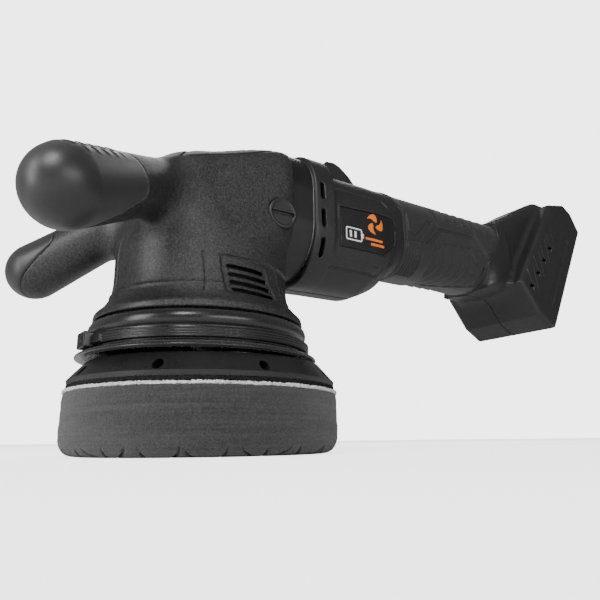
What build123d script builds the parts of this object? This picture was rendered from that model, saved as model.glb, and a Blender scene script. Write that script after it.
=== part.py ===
from build123d import *
import math
import os

# Cordless dual-action polisher.
# Frame: +Z up, +X from the head back to the battery foot, +Y to the right-hand side.
# Origin: where the drive spindle's axis crosses the working face of the foam pad.

# ---- driving dimensions (mm) ----
pad_radius = 76.0
foam_height = 32.0
loop_height = 1.5
hook_height = 2.5
plate_height = 13.0
plate_vents = 9
orbit_offset = 4.0
motor_axis_z = 142.0
running_fit = 0.04
wall = 3.0

# Head
neck_radius = 52.6
neck_lip_radius = 60.0
neck_bottom_z = 66.0
neck_straight_z = 79.0
head_top_z = 171.0
head_rear_x = 41.0

# Bevel drive
gear_module = 1.5
pinion_teeth = 11
wheel_teeth = 33
tooth_face = 7.5

# Gear case flange and motor housing
flange_rear_x = 58.0
collar_rear_x = 77.0
collar_z = 145.0
collar_half = (39.0, 45.0)
drum_z = 140.0
drum_half = (37.0, 41.0)
grip_front_x = 146.0
grip_rear_x = 250.0
grip_z = 151.0
grip_half = (28.0, 31.5)
sleeve_thickness = 2.4
fan_radius = 33.0
stator_radius = 32.0

# Battery foot: the rail face leans back, its top further to the rear
rail_bottom = (298.0, 87.0)
rail_top = (356.0, 186.0)
foot_half_width = 39.0
foot_depth = 46.0

# Slide switch
switch_travel = 7.0

# Heights below are counted from a datum plane under the loop layer. The finished part is
# lifted so that the foam's working face lies at zero.
loop_seat_z = 27.0
datum_lift = foam_height - loop_seat_z

z_loop = loop_seat_z
z_hook = z_loop + loop_height
z_plate = z_hook + hook_height
z_plate_top = z_plate + plate_height


# ---- small helpers ----
def disc(radius, z0, z1, x=0.0, y=0.0):
    """Upright cylinder between two heights."""
    return Pos(x, y, z0) * Cylinder(radius, z1 - z0, align=(Align.CENTER, Align.CENTER, Align.MIN))


def barrel(radius, x0, x1, y=0.0, z=motor_axis_z):
    """Cylinder along X between two stations."""
    base = Plane(origin=(x0, y, z), z_dir=(1, 0, 0))
    return base * Cylinder(radius, x1 - x0, align=(Align.CENTER, Align.CENTER, Align.MIN))


def cross_pin(radius, y0, y1, x, z):
    """Cylinder along Y between two stations."""
    base = Plane(origin=(x, y0, z), z_dir=(0, 1, 0))
    return base * Cylinder(radius, y1 - y0, align=(Align.CENTER, Align.CENTER, Align.MIN))


def slab(x0, x1, y0, y1, z0, z1):
    """Box between two corners."""
    corner = (Align.MIN, Align.MIN, Align.MIN)
    return Pos(x0, y0, z0) * Box(x1 - x0, y1 - y0, z1 - z0, align=corner)


def turned(points, x=0.0):
    """Solid of revolution about the vertical through x; points are (radius, height)."""
    outline = Plane.XZ * make_face(Polyline(*points, close=True))
    return Pos(x, 0, 0) * revolve(outline, Axis.Z)


def side_plate(points, half_width):
    """Side outline (x, z) given equal width to both sides of the middle."""
    outline = Plane.XZ * make_face(Polyline(*points, close=True))
    return extrude(outline, half_width, both=True)


def upright_section(z, x_centre, half_x, half_y, corner, tilt):
    """Rounded rectangle across the head at one height, its rear raised by tilt degrees."""
    level = Pos(x_centre, 0, z) * Rot(0, -tilt, 0)
    return level * RectangleRounded(2 * half_x, 2 * half_y, corner)


def cross_section(x, z, half_y, half_z, roundness=0.86):
    """Rounded rectangle across the handle at one station."""
    plane = Plane(origin=(x, 0, z), x_dir=(0, 1, 0), z_dir=(1, 0, 0))
    corner = roundness * min(half_y, half_z)
    return plane * RectangleRounded(2 * half_y, 2 * half_z, corner)


def around(count, shape, axis_x=0.0):
    """Copies of a shape turned evenly about the vertical through axis_x."""
    move = Pos(axis_x, 0, 0)
    back = Pos(-axis_x, 0, 0)
    return [move * Rot(0, 0, 360 / count * i) * back * shape for i in range(count)]


def mirror_y(shape):
    return mirror(shape, about=Plane.XZ)


def split_halves(shape):
    """Left (-Y) and right (+Y) halves of a shell."""
    reach = 500.0
    left = shape & slab(-reach, reach, -reach, 0, -reach, reach)
    right = shape & slab(-reach, reach, 0, reach, -reach, reach)
    return left, right


def ball_bearing(bore, outer, width):
    """Shielded bearing standing on z = 0, with both shields sunk a little."""
    ring = disc(outer, 0, width) - disc(bore, 0, width)
    step = (outer - bore) * 0.27
    shield = disc(outer - step, 0, 0.5) - disc(bore + step, 0, 0.5)
    return ring - shield - Pos(0, 0, width - 0.5) * shield


def along_x(shape, x, z=motor_axis_z):
    """Stand a shape built on z = 0 along the X axis, starting at station x."""
    return Plane(origin=(x, 0, z), z_dir=(1, 0, 0)) * shape


def socket_screw(length, head_length=3.6, head_radius=3.4, shank_radius=1.9):
    """Cap screw pointing down from z = 0, its head above."""
    head = disc(head_radius, 0, head_length) - Pos(0, 0, head_length) * Cylinder(1.6, 3.0)
    return head + disc(shank_radius, -length, 0)


def save(name, shape):
    """Write one sub-part, with several separate solids as one group."""
    solids = shape if isinstance(shape, list) else [shape]
    flat = [Pos(0, 0, datum_lift) * piece for item in solids for piece in item.solids()]
    body = flat[0] if len(flat) == 1 else Compound(children=flat)
    export_step(body, f"parts/{name}.step")


os.makedirs("parts", exist_ok=True)


# ---- pad, turning on the offset bearings ----
def make_foam_pad():
    foam = disc(pad_radius, loop_seat_z - foam_height, loop_seat_z, orbit_offset)
    foam = fillet(foam.edges().sort_by(Axis.Z)[0], 8.0)
    return foam


def make_backing_plate():
    top = z_plate_top
    body = turned(
        [
            (0, z_plate),
            (74.0, z_plate),
            (74.5, z_plate + 2.5),
            (66.0, top - 1.0),
            (62.0, top),
            (52.0, top - 3.0),
            (22.0, top - 3.0),
            (20.0, top + 1.0),
            (0, top + 1.0),
        ],
        orbit_offset,
    )
    channel = disc(50.0, top - 6.0, top, orbit_offset) - disc(34.0, top - 6.0, top, orbit_offset)
    body -= channel
    vent = Plane(origin=(44, 0, z_plate + 5.5), z_dir=(1, 0, 0))
    vent_hole = vent * Cylinder(2.6, 40, align=(Align.CENTER, Align.CENTER, Align.MIN))
    for hole in around(plate_vents, Rot(0, 0, -10.5) * vent_hole):
        body -= Pos(orbit_offset, 0, 0) * hole
    body -= disc(4.2, z_plate - 1, top + 2, orbit_offset)
    body -= disc(11.2, z_plate - 1, z_plate + 5.0, orbit_offset)
    return body


def make_pad_spindle():
    top = z_plate_top + 1.0
    shaft = disc(17.0, top, top + 5.0, orbit_offset)
    shaft += disc(9.0, top + 5.0, top + 15.0, orbit_offset)
    shaft += disc(6.0 - running_fit, top + 15.0, pad_bearing_top_z, orbit_offset)
    tapped = disc(3.4, top, top + 20.0, orbit_offset)
    groove = disc(7.0, pad_bearing_top_z - 2.2, pad_bearing_top_z - 1.1, orbit_offset)
    groove -= disc(5.4, pad_bearing_top_z - 3.0, pad_bearing_top_z, orbit_offset)
    return shaft - tapped - groove


pad_bearing_width = 8.0
pad_bearing_z = 62.0
pad_bearing_gap = 2.0
pad_bearing_outer = 14.0
pad_bearing_end_z = pad_bearing_z + 2 * pad_bearing_width + pad_bearing_gap
pad_bearing_top_z = pad_bearing_end_z + 3.0
carrier_top_z = 88.0
lower_bearing_z = 98.0
lower_bearing_top_z = 109.0
upper_bearing_z = 150.0
upper_bearing_top_z = 157.0
spindle_radius = 7.5
wheel_back = 14.0
wheel_hub_end = 20.0
pinion_back_x = 33.0
pinion_bore = 3.5


def make_pad_bearings():
    bearing = ball_bearing(6.0, pad_bearing_outer, pad_bearing_width)
    upper_z = pad_bearing_z + pad_bearing_width + pad_bearing_gap
    return [Pos(orbit_offset, 0, z) * bearing for z in (pad_bearing_z, upper_z)]


def make_retaining_ring(radius_in, radius_out, z0, z1, x, gap):
    """Open circlip in its groove."""
    ring = disc(radius_out, z0, z1, x) - disc(radius_in, z0, z1, x)
    return ring - slab(x, x + radius_out + 1, -gap, gap, z0, z1)


def make_pad_bolt():
    """Cap screw that pulls the backing plate up to the pad spindle."""
    seat_z = z_plate + 3.4
    head = disc(6.5, seat_z - 4.0, seat_z, orbit_offset)
    head -= disc(2.9, seat_z - 4.0, seat_z - 1.5, orbit_offset)
    return head + disc(3.3, seat_z, z_plate_top + 18.0, orbit_offset)


# ---- spindle with its bevel wheel and eccentric carrier ----
pinion_pitch = gear_module * pinion_teeth / 2
wheel_pitch = gear_module * wheel_teeth / 2
cone_distance = math.hypot(pinion_pitch, wheel_pitch)


def tooth_outline(teeth, pitch_radius, cone_angle, thin):
    """One tooth's outline on the back cone as (height above pitch, half-width) pairs."""
    virtual_radius = pitch_radius / math.cos(cone_angle)
    pressure = math.radians(20)
    base = virtual_radius * math.cos(pressure)
    half_at_pitch = math.pi / (2 * teeth) * pitch_radius / virtual_radius
    involute_pitch = math.tan(pressure) - pressure
    rows = []
    steps = 7
    low = -1.2 * gear_module
    high = 0.95 * gear_module
    for i in range(steps + 1):
        lift = low + (high - low) * i / steps
        radius = virtual_radius + lift
        if radius > base:
            angle = math.acos(base / radius)
            inv = math.tan(angle) - angle
        else:
            inv = 0.0
        half_angle = half_at_pitch + involute_pitch - inv
        rows.append((lift, max(half_angle * radius - thin, 0.12)))
    return rows


def bevel_tooth(teeth, pitch_radius, cone_angle, thin):
    """A straight tooth with its axis on Z and the cone's apex at the origin, its pitch
    cone opening towards +Z; every cross-section shrinks towards the apex."""
    rows = tooth_outline(teeth, pitch_radius, cone_angle, thin)
    apex_z = pitch_radius / math.tan(cone_angle)
    outward = (math.cos(cone_angle), -math.sin(cone_angle))

    def at_scale(scale):
        right = []
        for lift, half in rows:
            radius = (pitch_radius + lift * outward[0]) * scale
            height = (apex_z + lift * outward[1]) * scale
            right.append((radius, half * scale, height))
        left = [(r, -w, h) for r, w, h in reversed(right)]
        return Face(Wire.make_polygon([Vector(*p) for p in right + left], close=True))

    outer = at_scale(1.0)
    inner = at_scale(1.0 - tooth_face / cone_distance)
    return Solid.make_loft([outer.outer_wire(), inner.outer_wire()], ruled=True)


def bevel_blank(pitch_radius, cone_angle, back, bore):
    """Root cone, from the inner end of the teeth to a flat back past the outer end."""
    apex_z = pitch_radius / math.tan(cone_angle)
    root = 1.15 * gear_module
    outward = (math.cos(cone_angle), -math.sin(cone_angle))
    outer = (pitch_radius - root * outward[0], apex_z - root * outward[1])
    share = 1.0 - tooth_face / cone_distance
    inner = (outer[0] * share, outer[1] * share)
    outline = [
        (bore, inner[1]),
        inner,
        outer,
        (outer[0], back),
        (bore, back),
    ]
    return turned(outline)


def make_bevel_wheel():
    angle = math.atan2(wheel_pitch, pinion_pitch)
    blank = bevel_blank(wheel_pitch, angle, wheel_back, spindle_radius)
    hub = disc(13.0, wheel_back, wheel_hub_end) - disc(spindle_radius, wheel_back, wheel_hub_end)
    tooth = bevel_tooth(wheel_teeth, wheel_pitch, angle, 0.13)
    wheel = blank + hub
    wheel = wheel.fuse(*around(wheel_teeth, Rot(0, 0, 180 / wheel_teeth) * tooth))
    return Pos(0, 0, motor_axis_z) * Rot(180, 0, 0) * wheel


def make_bevel_pinion():
    angle = math.atan2(pinion_pitch, wheel_pitch)
    blank = bevel_blank(pinion_pitch, angle, pinion_back_x, pinion_bore)
    tooth = bevel_tooth(pinion_teeth, pinion_pitch, angle, 0.13)
    pinion = blank.fuse(*around(pinion_teeth, tooth))
    turn = Plane(origin=(0, 0, motor_axis_z), x_dir=(0, 0, -1), z_dir=(1, 0, 0))
    return turn * pinion


def make_spindle():
    shaft = disc(spindle_radius - running_fit, carrier_top_z, motor_axis_z - 7.2)
    shaft += disc(5.5, motor_axis_z - 7.2, upper_bearing_z - 0.3)
    shaft += disc(4.0 - running_fit, upper_bearing_z - 0.3, upper_bearing_top_z - 0.5)
    shaft += disc(9.5, carrier_top_z, lower_bearing_z)
    cup = disc(18.5, pad_bearing_z - 3.0, carrier_top_z, orbit_offset)
    bore = disc(pad_bearing_outer, pad_bearing_z - 4.0, pad_bearing_end_z, orbit_offset)
    relief = disc(10.5, pad_bearing_end_z - 0.1, pad_bearing_top_z + 1.0, orbit_offset)
    groove = disc(15.0, pad_bearing_z - 1.6, pad_bearing_z - 0.4, orbit_offset)
    return shaft + cup - bore - relief - groove


def make_counterweight():
    """Sector bolted over the carrier, heavy on the side away from the offset."""
    weight = disc(44.0, 60.5, 77.0)
    keep = slab(-60, -4, -60, 60, 50, 90)
    ring = disc(24.0, 66.0, 72.0, orbit_offset)
    return (weight & keep) + ring - disc(18.5, 50.0, 90.0, orbit_offset)


# ---- head ----
def head_solid(inset=0.0):
    """Outer form of the head; inset draws every wall in by that much."""
    low = [
        (0, neck_bottom_z - (1.0 if inset else 0.0)),
        (neck_lip_radius - inset, neck_bottom_z - (1.0 if inset else 0.0)),
        (neck_lip_radius - inset, neck_bottom_z + 3.5),
        (neck_radius + 1.4 - inset, neck_straight_z - 4.0),
        (neck_radius - inset, neck_straight_z),
        (neck_radius - inset, 101.0),
        (0, 101.0),
    ]
    neck = turned(low)
    levels = [
        (100.0, 0.0, neck_radius - 0.7, neck_radius - 0.7, 0.97, 0.0),
        (112.0, 0.0, 49.5, 49.6, 0.9, 2.0),
        (127.0, 1.0, 46.0, 45.5, 0.75, 7.0),
        (146.0, 3.0, 45.0, 43.0, 0.6, 13.0),
        (162.0, 4.0, 44.0, 39.5, 0.6, 18.0),
        (head_top_z - inset, 4.0, 38.0, 31.0, 0.6, 20.0),
    ]
    sections = []
    for z, x, half_x, half_y, share, tilt in levels:
        half_x -= inset
        half_y -= inset
        corner = share * min(half_x, half_y)
        sections.append(upright_section(z, x, half_x, half_y, corner, tilt))
    crown = loft(sections)
    rear_cut = slab(head_rear_x, 90, -80, 80, 101.5, 220)
    return neck + (crown - rear_cut)


# Front horns: stems with a rounded bulb end, drooping and splayed
horn_base = Vector(-22.0, 14.5, 146.0)
horn_tip = Vector(-90.0, 77.0, 101.0)
horn_end_radius = 19.0
right_horn_shorter = 7.0
sleeve_wall = 3.0
sleeve_seam = 66.0
sleeve_belly = (-2.0, -27.0)
horn_axis = (horn_tip - horn_base).normalized()
horn_up = (Vector(0, 0, 1) - horn_axis * horn_axis.Z).normalized()


def horn_frame():
    """Frame at the root of the right-hand horn, its Z out along the horn."""
    return Plane(origin=horn_base, z_dir=horn_axis)


def horn_form(inset=0.0, shorter=0.0):
    """One right-hand horn; inset draws its skin in by that much."""
    length = (horn_tip - horn_base).length - shorter
    end = horn_end_radius - inset
    root = (24.0 - inset, 0)
    waist = (18.6 - inset, 0.32 * length)
    profile = Polyline((0, length), (0, 0), root, waist, (end, length))
    middle = (end * math.sin(math.pi / 4), length + end * math.cos(math.pi / 4))
    cap = ThreePointArc((end, length), middle, (0, length + end))
    crown = Line((0, length + end), (0, length))
    outline = Plane.XZ * make_face([profile, cap, crown])
    return horn_frame() * revolve(outline, Axis.Z)


def sleeve_zone():
    """Past the seam ring of the right-hand horn, and above the slanting seam below it."""
    near, far = sleeve_seam, sleeve_seam + 64.0
    outline = [(near, 50), (near, sleeve_belly[0]), (far, sleeve_belly[1]), (far, 50)]
    corners = [(up, along) for along, up in outline]
    upright = Plane(origin=horn_base, x_dir=horn_up, z_dir=horn_axis)
    return upright * side_plate(corners, 50.0)


def palm_zone():
    corners = [(-30, -22), (24, -29), (32, -24), (32, 24), (24, 29), (-30, 22)]
    outline = make_face(Polyline(*corners, close=True))
    return Pos(0, 0, 148) * extrude(outline, 60)


plug_x = 31.0
plug_z = 130.0
plug_radius = 9.0
boss_places = [(-41.0, 110.0), (40.0, 86.0), (-39.0, 84.0)]


def boss_screw(x, z, head_y, end_y):
    """Screw that joins two halves, its head on the right-hand side."""
    frame = Plane(origin=(x, head_y, z), z_dir=(0, 1, 0))
    return frame * socket_screw(head_y - end_y, 3.0, 3.2, 1.9)


def both_sides(shape):
    return [shape, mirror_y(shape)]


def side_vent_cuts():
    """Four louvre slots, each further back than the one above it, for the left side."""
    cuts = []
    for i in range(4):
        lean = 1.7 * i
        place = (5.5 + lean, -50.0, 90.5 - 4.3 * i)
        centre = Plane(origin=place, x_dir=(1, 0, 0), z_dir=(0, -1, 0))
        cuts.append(centre * extrude(SlotOverall(24.0, 2.2), 26.0, both=True))
    return cuts


def horn_set(shorter, body):
    """Right-hand horn's outer form, its rubber sleeve and its hollow."""
    outer = horn_form(0.0, shorter)
    sleeve = (outer - horn_form(sleeve_wall, shorter)) & sleeve_zone()
    length = (horn_tip - horn_base).length - shorter
    return outer, sleeve - body, horn_frame() * disc(9.5, -4.0, length)


def make_head_parts():
    """Both shells, both horn grips and the palm pad."""
    body = head_solid()
    right_outer, right_sleeve, right_hollow = horn_set(right_horn_shorter, body)
    left_outer, left_sleeve, left_hollow = [mirror_y(form) for form in horn_set(0.0, body)]
    pad = (body - Pos(0, 0, -2.6) * body) & palm_zone()

    shell = body + right_outer + left_outer
    shell -= pad
    shell -= head_solid(wall)
    for piece in (right_sleeve, left_sleeve, right_hollow, left_hollow):
        shell -= piece
    for x, z in boss_places:
        shell += cross_pin(4.8, -70, 70, x, z) & head_solid(0.5)
    shell -= cross_pin(plug_radius, -90, 90, plug_x, plug_z)
    for slot in side_vent_cuts():
        shell -= slot
        shell -= mirror_y(slot)
    for x, z in boss_places:
        reach = head_boss_reach(x)
        shell -= cross_pin(2.0, -reach + 1.0, reach, x, z)
        shell -= cross_pin(3.7, reach - 1.0, 70, x, z)
    left, right = split_halves(shell)
    return left, right, left_sleeve, right_sleeve, pad


def head_boss_reach(x):
    """How far to the side a screw seat may lie at one station of the neck."""
    return 0.72 * math.sqrt(neck_radius**2 - x**2)


def make_head_screws():
    screws = []
    for x, z in boss_places:
        reach = head_boss_reach(x)
        screws.append(boss_screw(x, z, reach - 1.0, -reach + 2.0))
    return screws


def make_side_plugs():
    """Slotted round plugs flush with the head's sides."""
    plug = cross_pin(plug_radius - 0.1, -47.0, -38.0, plug_x, plug_z)
    plug = chamfer(plug.edges().sort_by(Axis.Y)[0], 0.8)
    slot = slab(plug_x - 10, plug_x + 10, -48, -45.6, plug_z - 1.2, plug_z + 1.2)
    return both_sides(plug - slot)


# ---- gear case ----
flange_screw_places = [
    (side * 23.0, collar_z + height) for side in (-1, 1) for height in (-31.0, 31.0)
]
case_bottom_z = 96.0
front_bearing_x = 44.0
front_bearing_end_x = 52.0
retainer_screw_radius = 24.0


def flange_block(x0, x1, inset=0.0):
    half_y, half_z = collar_half
    section = cross_section(x0, collar_z, half_y - inset, half_z - inset, 0.88)
    return extrude(section, x1 - x0)


def make_gear_case():
    case = disc(31.0, case_bottom_z, upper_bearing_z + 0.5)
    case += disc(15.0, upper_bearing_z, upper_bearing_top_z + 2.5)
    case += barrel(19.0, 20, head_rear_x)
    case += flange_block(head_rear_x, flange_rear_x, 2.2)
    case -= disc(17.5, case_bottom_z, lower_bearing_top_z)
    case -= disc(13.0, lower_bearing_top_z, 112.0)
    case -= disc(27.5, 112.0, 148.5)
    case -= disc(11.0, 148.0, upper_bearing_top_z)
    case -= barrel(10.8, 12.5, front_bearing_x)
    case -= barrel(13.0, front_bearing_x, front_bearing_end_x + 2.0)
    case -= barrel(34.0, front_bearing_end_x + 1.0, flange_rear_x)
    for y, z in flange_screw_places:
        case -= barrel(2.1, head_rear_x, flange_rear_x, y, z)
        case -= barrel(3.8, head_rear_x, head_rear_x + 4.4, y, z)
    for hole in around(3, disc(1.7, case_bottom_z, 106.0, retainer_screw_radius)):
        case -= hole
    return case


def make_gear_case_screws():
    screws = []
    for y, z in flange_screw_places:
        seat = Plane(origin=(head_rear_x + 4.4, y, z), z_dir=(-1, 0, 0))
        screws.append(seat * socket_screw(26.0))
    return screws


def make_bearing_retainer():
    plate = disc(28.0, case_bottom_z - 3.0, case_bottom_z) - disc(12.0, 90, 100)
    lip = disc(17.4, case_bottom_z, lower_bearing_z) - disc(12.0, 90, 100)
    retainer = plate + lip
    for hole in around(3, disc(1.8, 90, 100, retainer_screw_radius)):
        retainer -= hole
    return retainer


def make_retainer_screws():
    screw = Pos(retainer_screw_radius, 0, case_bottom_z - 3.0) * Rot(180, 0, 0)
    return around(3, screw * socket_screw(11.0, 2.4, 2.9, 1.6))


def make_spindle_spacer():
    top = motor_axis_z - wheel_hub_end
    return disc(10.5, lower_bearing_top_z, top) - disc(spindle_radius, lower_bearing_top_z, top)


# ---- boot ----
def make_boot():
    return turned(
        [
            (56.9, 69.3),
            (56.9, 65.4),
            (59.2, 64.6),
            (61.6, 62.4),
            (62.2, 60.0),
            (61.4, 58.0),
            (60.0, 56.8),
            (60.8, 55.4),
            (60.8, 50.0),
            (60.2, 49.0),
            (63.4, 48.2),
            (66.8, 47.2),
            (68.0, 46.0),
            (67.4, 45.0),
            (62.6, 45.0),
            (58.0, 48.6),
            (56.0, 52.0),
            (54.0, 69.3),
        ]
    )


def make_boot_strap():
    """Band clamp round the boot, with its square lock to the front left."""
    band = disc(63.6, 50.2, 55.2) - disc(60.8, 50.0, 55.4)
    lock = slab(62.0, 67.5, -6.0, 6.0, 48.6, 57.2) - disc(63.0, 40, 60)
    tail = slab(64.0, 67.0, 6.0, 15.0, 50.6, 54.8) - disc(63.8, 40, 60)
    return Rot(0, 0, 184) * (band + lock + (tail & disc(67.5, 40, 60)))


# ---- motor ----
stator_x = (84.0, 114.0)
stator_bore = 18.5
rotor_radius = 15.3
shaft_radius = 5.0
rear_bearing_x = 122.0
rear_bearing_end_x = 129.0


def make_motor_shaft():
    shaft = barrel(pinion_bore - running_fit, 18.2, pinion_back_x + 0.4)
    shaft += barrel(shaft_radius - running_fit, pinion_back_x + 0.4, 56.0)
    shaft += barrel(7.0, front_bearing_end_x + 0.2, 55.0)
    shaft += barrel(shaft_radius, 56.0, stator_x[1] + 6)
    shaft += barrel(4.0 - running_fit, stator_x[1] + 6, rear_bearing_end_x + 1.5)
    return shaft


def make_rotor_core():
    x0, x1 = stator_x
    core = barrel(rotor_radius, x0, x1) - barrel(shaft_radius, x0, x1)
    for i in range(6):
        angle = math.radians(60 * i)
        y = 10.0 * math.cos(angle)
        z = motor_axis_z + 10.0 * math.sin(angle)
        core -= barrel(1.8, x0, x1, y, z)
    return core


def make_magnets():
    """Six arc magnets round the rotor core."""
    x0, x1 = stator_x
    sleeve = barrel(rotor_radius + 2.3, x0, x1) - barrel(rotor_radius, x0, x1)
    gaps = slab(x0, x1, -20, 20, motor_axis_z - 0.5, motor_axis_z + 0.5)
    centre = Pos(0, 0, motor_axis_z)
    for i in range(3):
        sleeve -= centre * Rot(60 * i, 0, 0) * centre.inverse() * gaps
    return [sleeve]


def make_stator():
    """Laminated ring with six teeth, each carrying a coil."""
    x0, x1 = stator_x
    ring = barrel(stator_radius, x0 + 4, x1 - 4) - barrel(stator_radius - 4.5, x0 + 4, x1 - 4)
    centre = Pos(0, 0, motor_axis_z)
    tooth = slab(x0 + 4, x1 - 4, -3.0, 3.0, stator_bore + 1.0, stator_radius - 3)
    shoe = slab(x0 + 4, x1 - 4, -7.5, 7.5, stator_bore - 1, stator_bore + 2.2)
    coil = slab(x0, x1, -6.0, 6.0, stator_bore + 2.2, stator_radius - 5.5)
    coil = fillet(coil.edges().filter_by(Axis.Z), 2.5)
    for i in range(6):
        ring += centre * Rot(60 * i, 0, 0) * (tooth + shoe + coil)
    return ring - barrel(stator_bore, x0 - 1, x1 + 1)


def make_cooling_fan():
    """Radial fan: a back disc, a hub and eleven swept blades."""
    hub = disc(10.0, 0, 13.0)
    plate = disc(fan_radius - 1.0, 0, 1.6)
    blade = slab(9.0, fan_radius - 1.5, -0.8, 0.8, 1.0, 11.0)
    fan = hub + plate
    for piece in around(11, Pos(0, 3.0, 0) * Rot(0, 0, -14) * blade):
        fan += piece & disc(fan_radius - 1.0, 0, 12.0)
    return along_x(fan - disc(shaft_radius, 0, 14), 59.5)


def make_air_baffle():
    """Flat ring that turns the motor's air into the fan."""
    return barrel(34.0, 77.4, 79.0, z=drum_z + 1) - barrel(22.0, 77.0, 80.0)


def make_sensor_board():
    board = barrel(24.0, 116.0, 117.6) - barrel(9.0, 115.0, 119.0)
    for i in range(3):
        angle = math.radians(120 * i + 90)
        y = 16.5 * math.cos(angle)
        z = motor_axis_z + 16.5 * math.sin(angle)
        board += slab(114.6, 116.0, y - 2, y + 2, z - 1.6, z + 1.6)
    return board


# ---- motor housing, grip and foot ----
drum_rear_x = 108.0
sleeve_x = (148.0, 247.0)
rail_run = Vector(rail_top[0] - rail_bottom[0], 0, rail_top[1] - rail_bottom[1])
rail_length = rail_run.length
rail_up = rail_run.normalized()
rail_out = Vector(rail_up.Z, 0, -rail_up.X)
rail_origin = Vector((rail_bottom[0] + rail_top[0]) / 2, 0, (rail_bottom[1] + rail_top[1]) / 2)
rail_frame = Plane(origin=rail_origin, x_dir=rail_up, z_dir=rail_out)
pocket_depth = 12.0
pocket_floor_u = -46.0
display_low = (257.0, 181.5)
display_high = (318.0, 215.0)
display_run = Vector(display_high[0] - display_low[0], 0, display_high[1] - display_low[1])
display_frame = Plane(
    origin=((display_low[0] + display_high[0]) / 2, 0, (display_low[1] + display_high[1]) / 2),
    x_dir=display_run,
    z_dir=(-display_run.Z, 0, display_run.X),
)


def foot_point(up, out):
    """Side view point (x, z) from distances up the rail face and out of it."""
    spot = rail_origin + rail_up * up + rail_out * out
    return (spot.X, spot.Z)


def foot_block(inset=0.0):
    """Slanted slab behind the grip; its rear face is the rail face."""
    rear = -(pocket_depth + inset) if inset else 0.0
    front = -foot_depth + inset
    half = rail_length / 2
    outline = [
        (-half + inset, rear),
        (half - 0.5 * inset, rear),
        (half + 9.5 - inset, rear - 18.0 if not inset else rear - 6.0),
        (half + 9.5 - inset, -30.0),
        (half - 14.0, front),
        (-half + 12.0, front),
        (-half + inset, -22.0),
    ]
    points = [foot_point(up, out) for up, out in outline]
    block = side_plate(points, foot_half_width - inset)
    return fillet(block.edges(), 2.5 if inset else 5.0)


def foot_web(inset=0.0):
    """Raised spine that joins the grip to the slab and carries the display."""
    low_x, low_z = display_low
    high_x, high_z = display_high
    front_x = sleeve_x[1] + inset
    outline = [
        (front_x, low_z - inset),
        (low_x, low_z - inset),
        (high_x, high_z - inset),
        (high_x + 11.0, high_z - 0.5 - inset),
        foot_point(60.0, -20.0 - inset),
        foot_point(-46.0, -36.0),
        (258.0, 119.0 + inset),
        (front_x, 122.0 + inset),
    ]
    block = side_plate(outline, 25.0 - inset)
    return fillet(block.edges().filter_by(Axis.Y, reverse=True), 2.5 if inset else 6.0)


def housing_tube(inset=0.0, grip_inset=0.0):
    """Drum and grip as one tube running back from the collar."""
    half_y, half_z = drum_half
    drum_start = cross_section(collar_rear_x - 1.0, drum_z, half_y - inset, half_z - inset)
    drum = extrude(drum_start, drum_rear_x - collar_rear_x + 1.0)
    grip_y, grip_z_half = grip_half
    narrow = inset + grip_inset
    stations = [
        (drum_rear_x, drum_z, half_y - inset, half_z - inset),
        (drum_rear_x + 14.0, 142.5, half_y - 1.5 - inset, half_z - 2.5 - inset),
        (grip_front_x - 12.0, 148.8, grip_y + 2.6 - inset, grip_z_half + 2.6 - inset),
        (grip_front_x, grip_z, grip_y - inset, grip_z_half - inset),
    ]
    taper = loft([cross_section(*station) for station in stations])
    full = cross_section(grip_front_x, grip_z, grip_y - inset, grip_z_half - inset)
    handle = extrude(full, grip_rear_x - grip_front_x)
    if grip_inset:
        front, rear = sleeve_x
        band = extrude(cross_section(front, grip_z, grip_y + 9, grip_z_half + 9), rear - front)
        slim = cross_section(front - 1, grip_z, grip_y - narrow, grip_z_half - narrow)
        handle = handle - (band - extrude(slim, rear - front + 2))
    return drum + taper + handle


def housing_cavity():
    """Hollow of the motor housing, grip and foot."""
    tube = housing_tube(wall)
    skin = wall + sleeve_thickness
    start = cross_section(grip_front_x - 4, grip_z, grip_half[0] - skin, grip_half[1] - skin)
    narrow = extrude(start, grip_rear_x - grip_front_x + 10)
    ahead = tube & slab(0, grip_front_x - 3, -60, 60, 60, 240)
    return ahead + narrow + foot_block(wall) + foot_web(wall)


motor_boss_places = [(154.0, 130.0, 15.0), (238.0, 131.0, 15.0), (238.0, 171.0, 15.0)]
foot_boss_places = [foot_point(-44.0, -28.0), foot_point(50.0, -30.0)]
switch_x = (86.0, 116.0)
switch_half_width = 9.0
link_z = (174.7, 176.7)


def housing_bosses(outer):
    bosses = []
    for x, z, reach in motor_boss_places:
        bosses.append(cross_pin(4.4, -40, 40, x, z))
    for x, z in foot_boss_places:
        bosses.append(cross_pin(4.4, -38, 38, x, z))
    return [boss & outer for boss in bosses]


def rear_bearing_web():
    """Wall across the drum that carries the rear motor bearing, with six air holes."""
    web = barrel(36.0, rear_bearing_x - 1.5, rear_bearing_end_x)
    for i in range(6):
        angle = math.radians(60 * i + 30)
        y = 20.0 * math.cos(angle)
        z = motor_axis_z + 20.0 * math.sin(angle)
        web -= barrel(6.5, 115, 135, y, z)
    web -= barrel(6.5, 110, 140)
    web -= slab(110, 140, -6, 6, 172.0, 190)
    return web - barrel(11.0, rear_bearing_x, rear_bearing_end_x)


def collar_slot_cuts():
    """Three upright exhaust slots on each side of the collar."""
    cuts = []
    for low, high in ((112.5, 124.5), (131.0, 143.0), (149.5, 161.5)):
        middle = Plane(origin=(64.0, 0, (low + high) / 2), x_dir=(0, 0, 1), z_dir=(0, 1, 0))
        cuts.append(middle * extrude(SlotOverall(high - low, 3.2), 60, both=True))
    return cuts


def foot_vent_cuts():
    """Four small vents on each side of the foot."""
    cuts = []
    for i in range(4):
        x = 272.5 + 10.6 * i
        z = 123.0 + 12.7 * i
        cuts.append(cross_pin(2.0, -60, 60, x, z))
    return cuts


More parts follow.
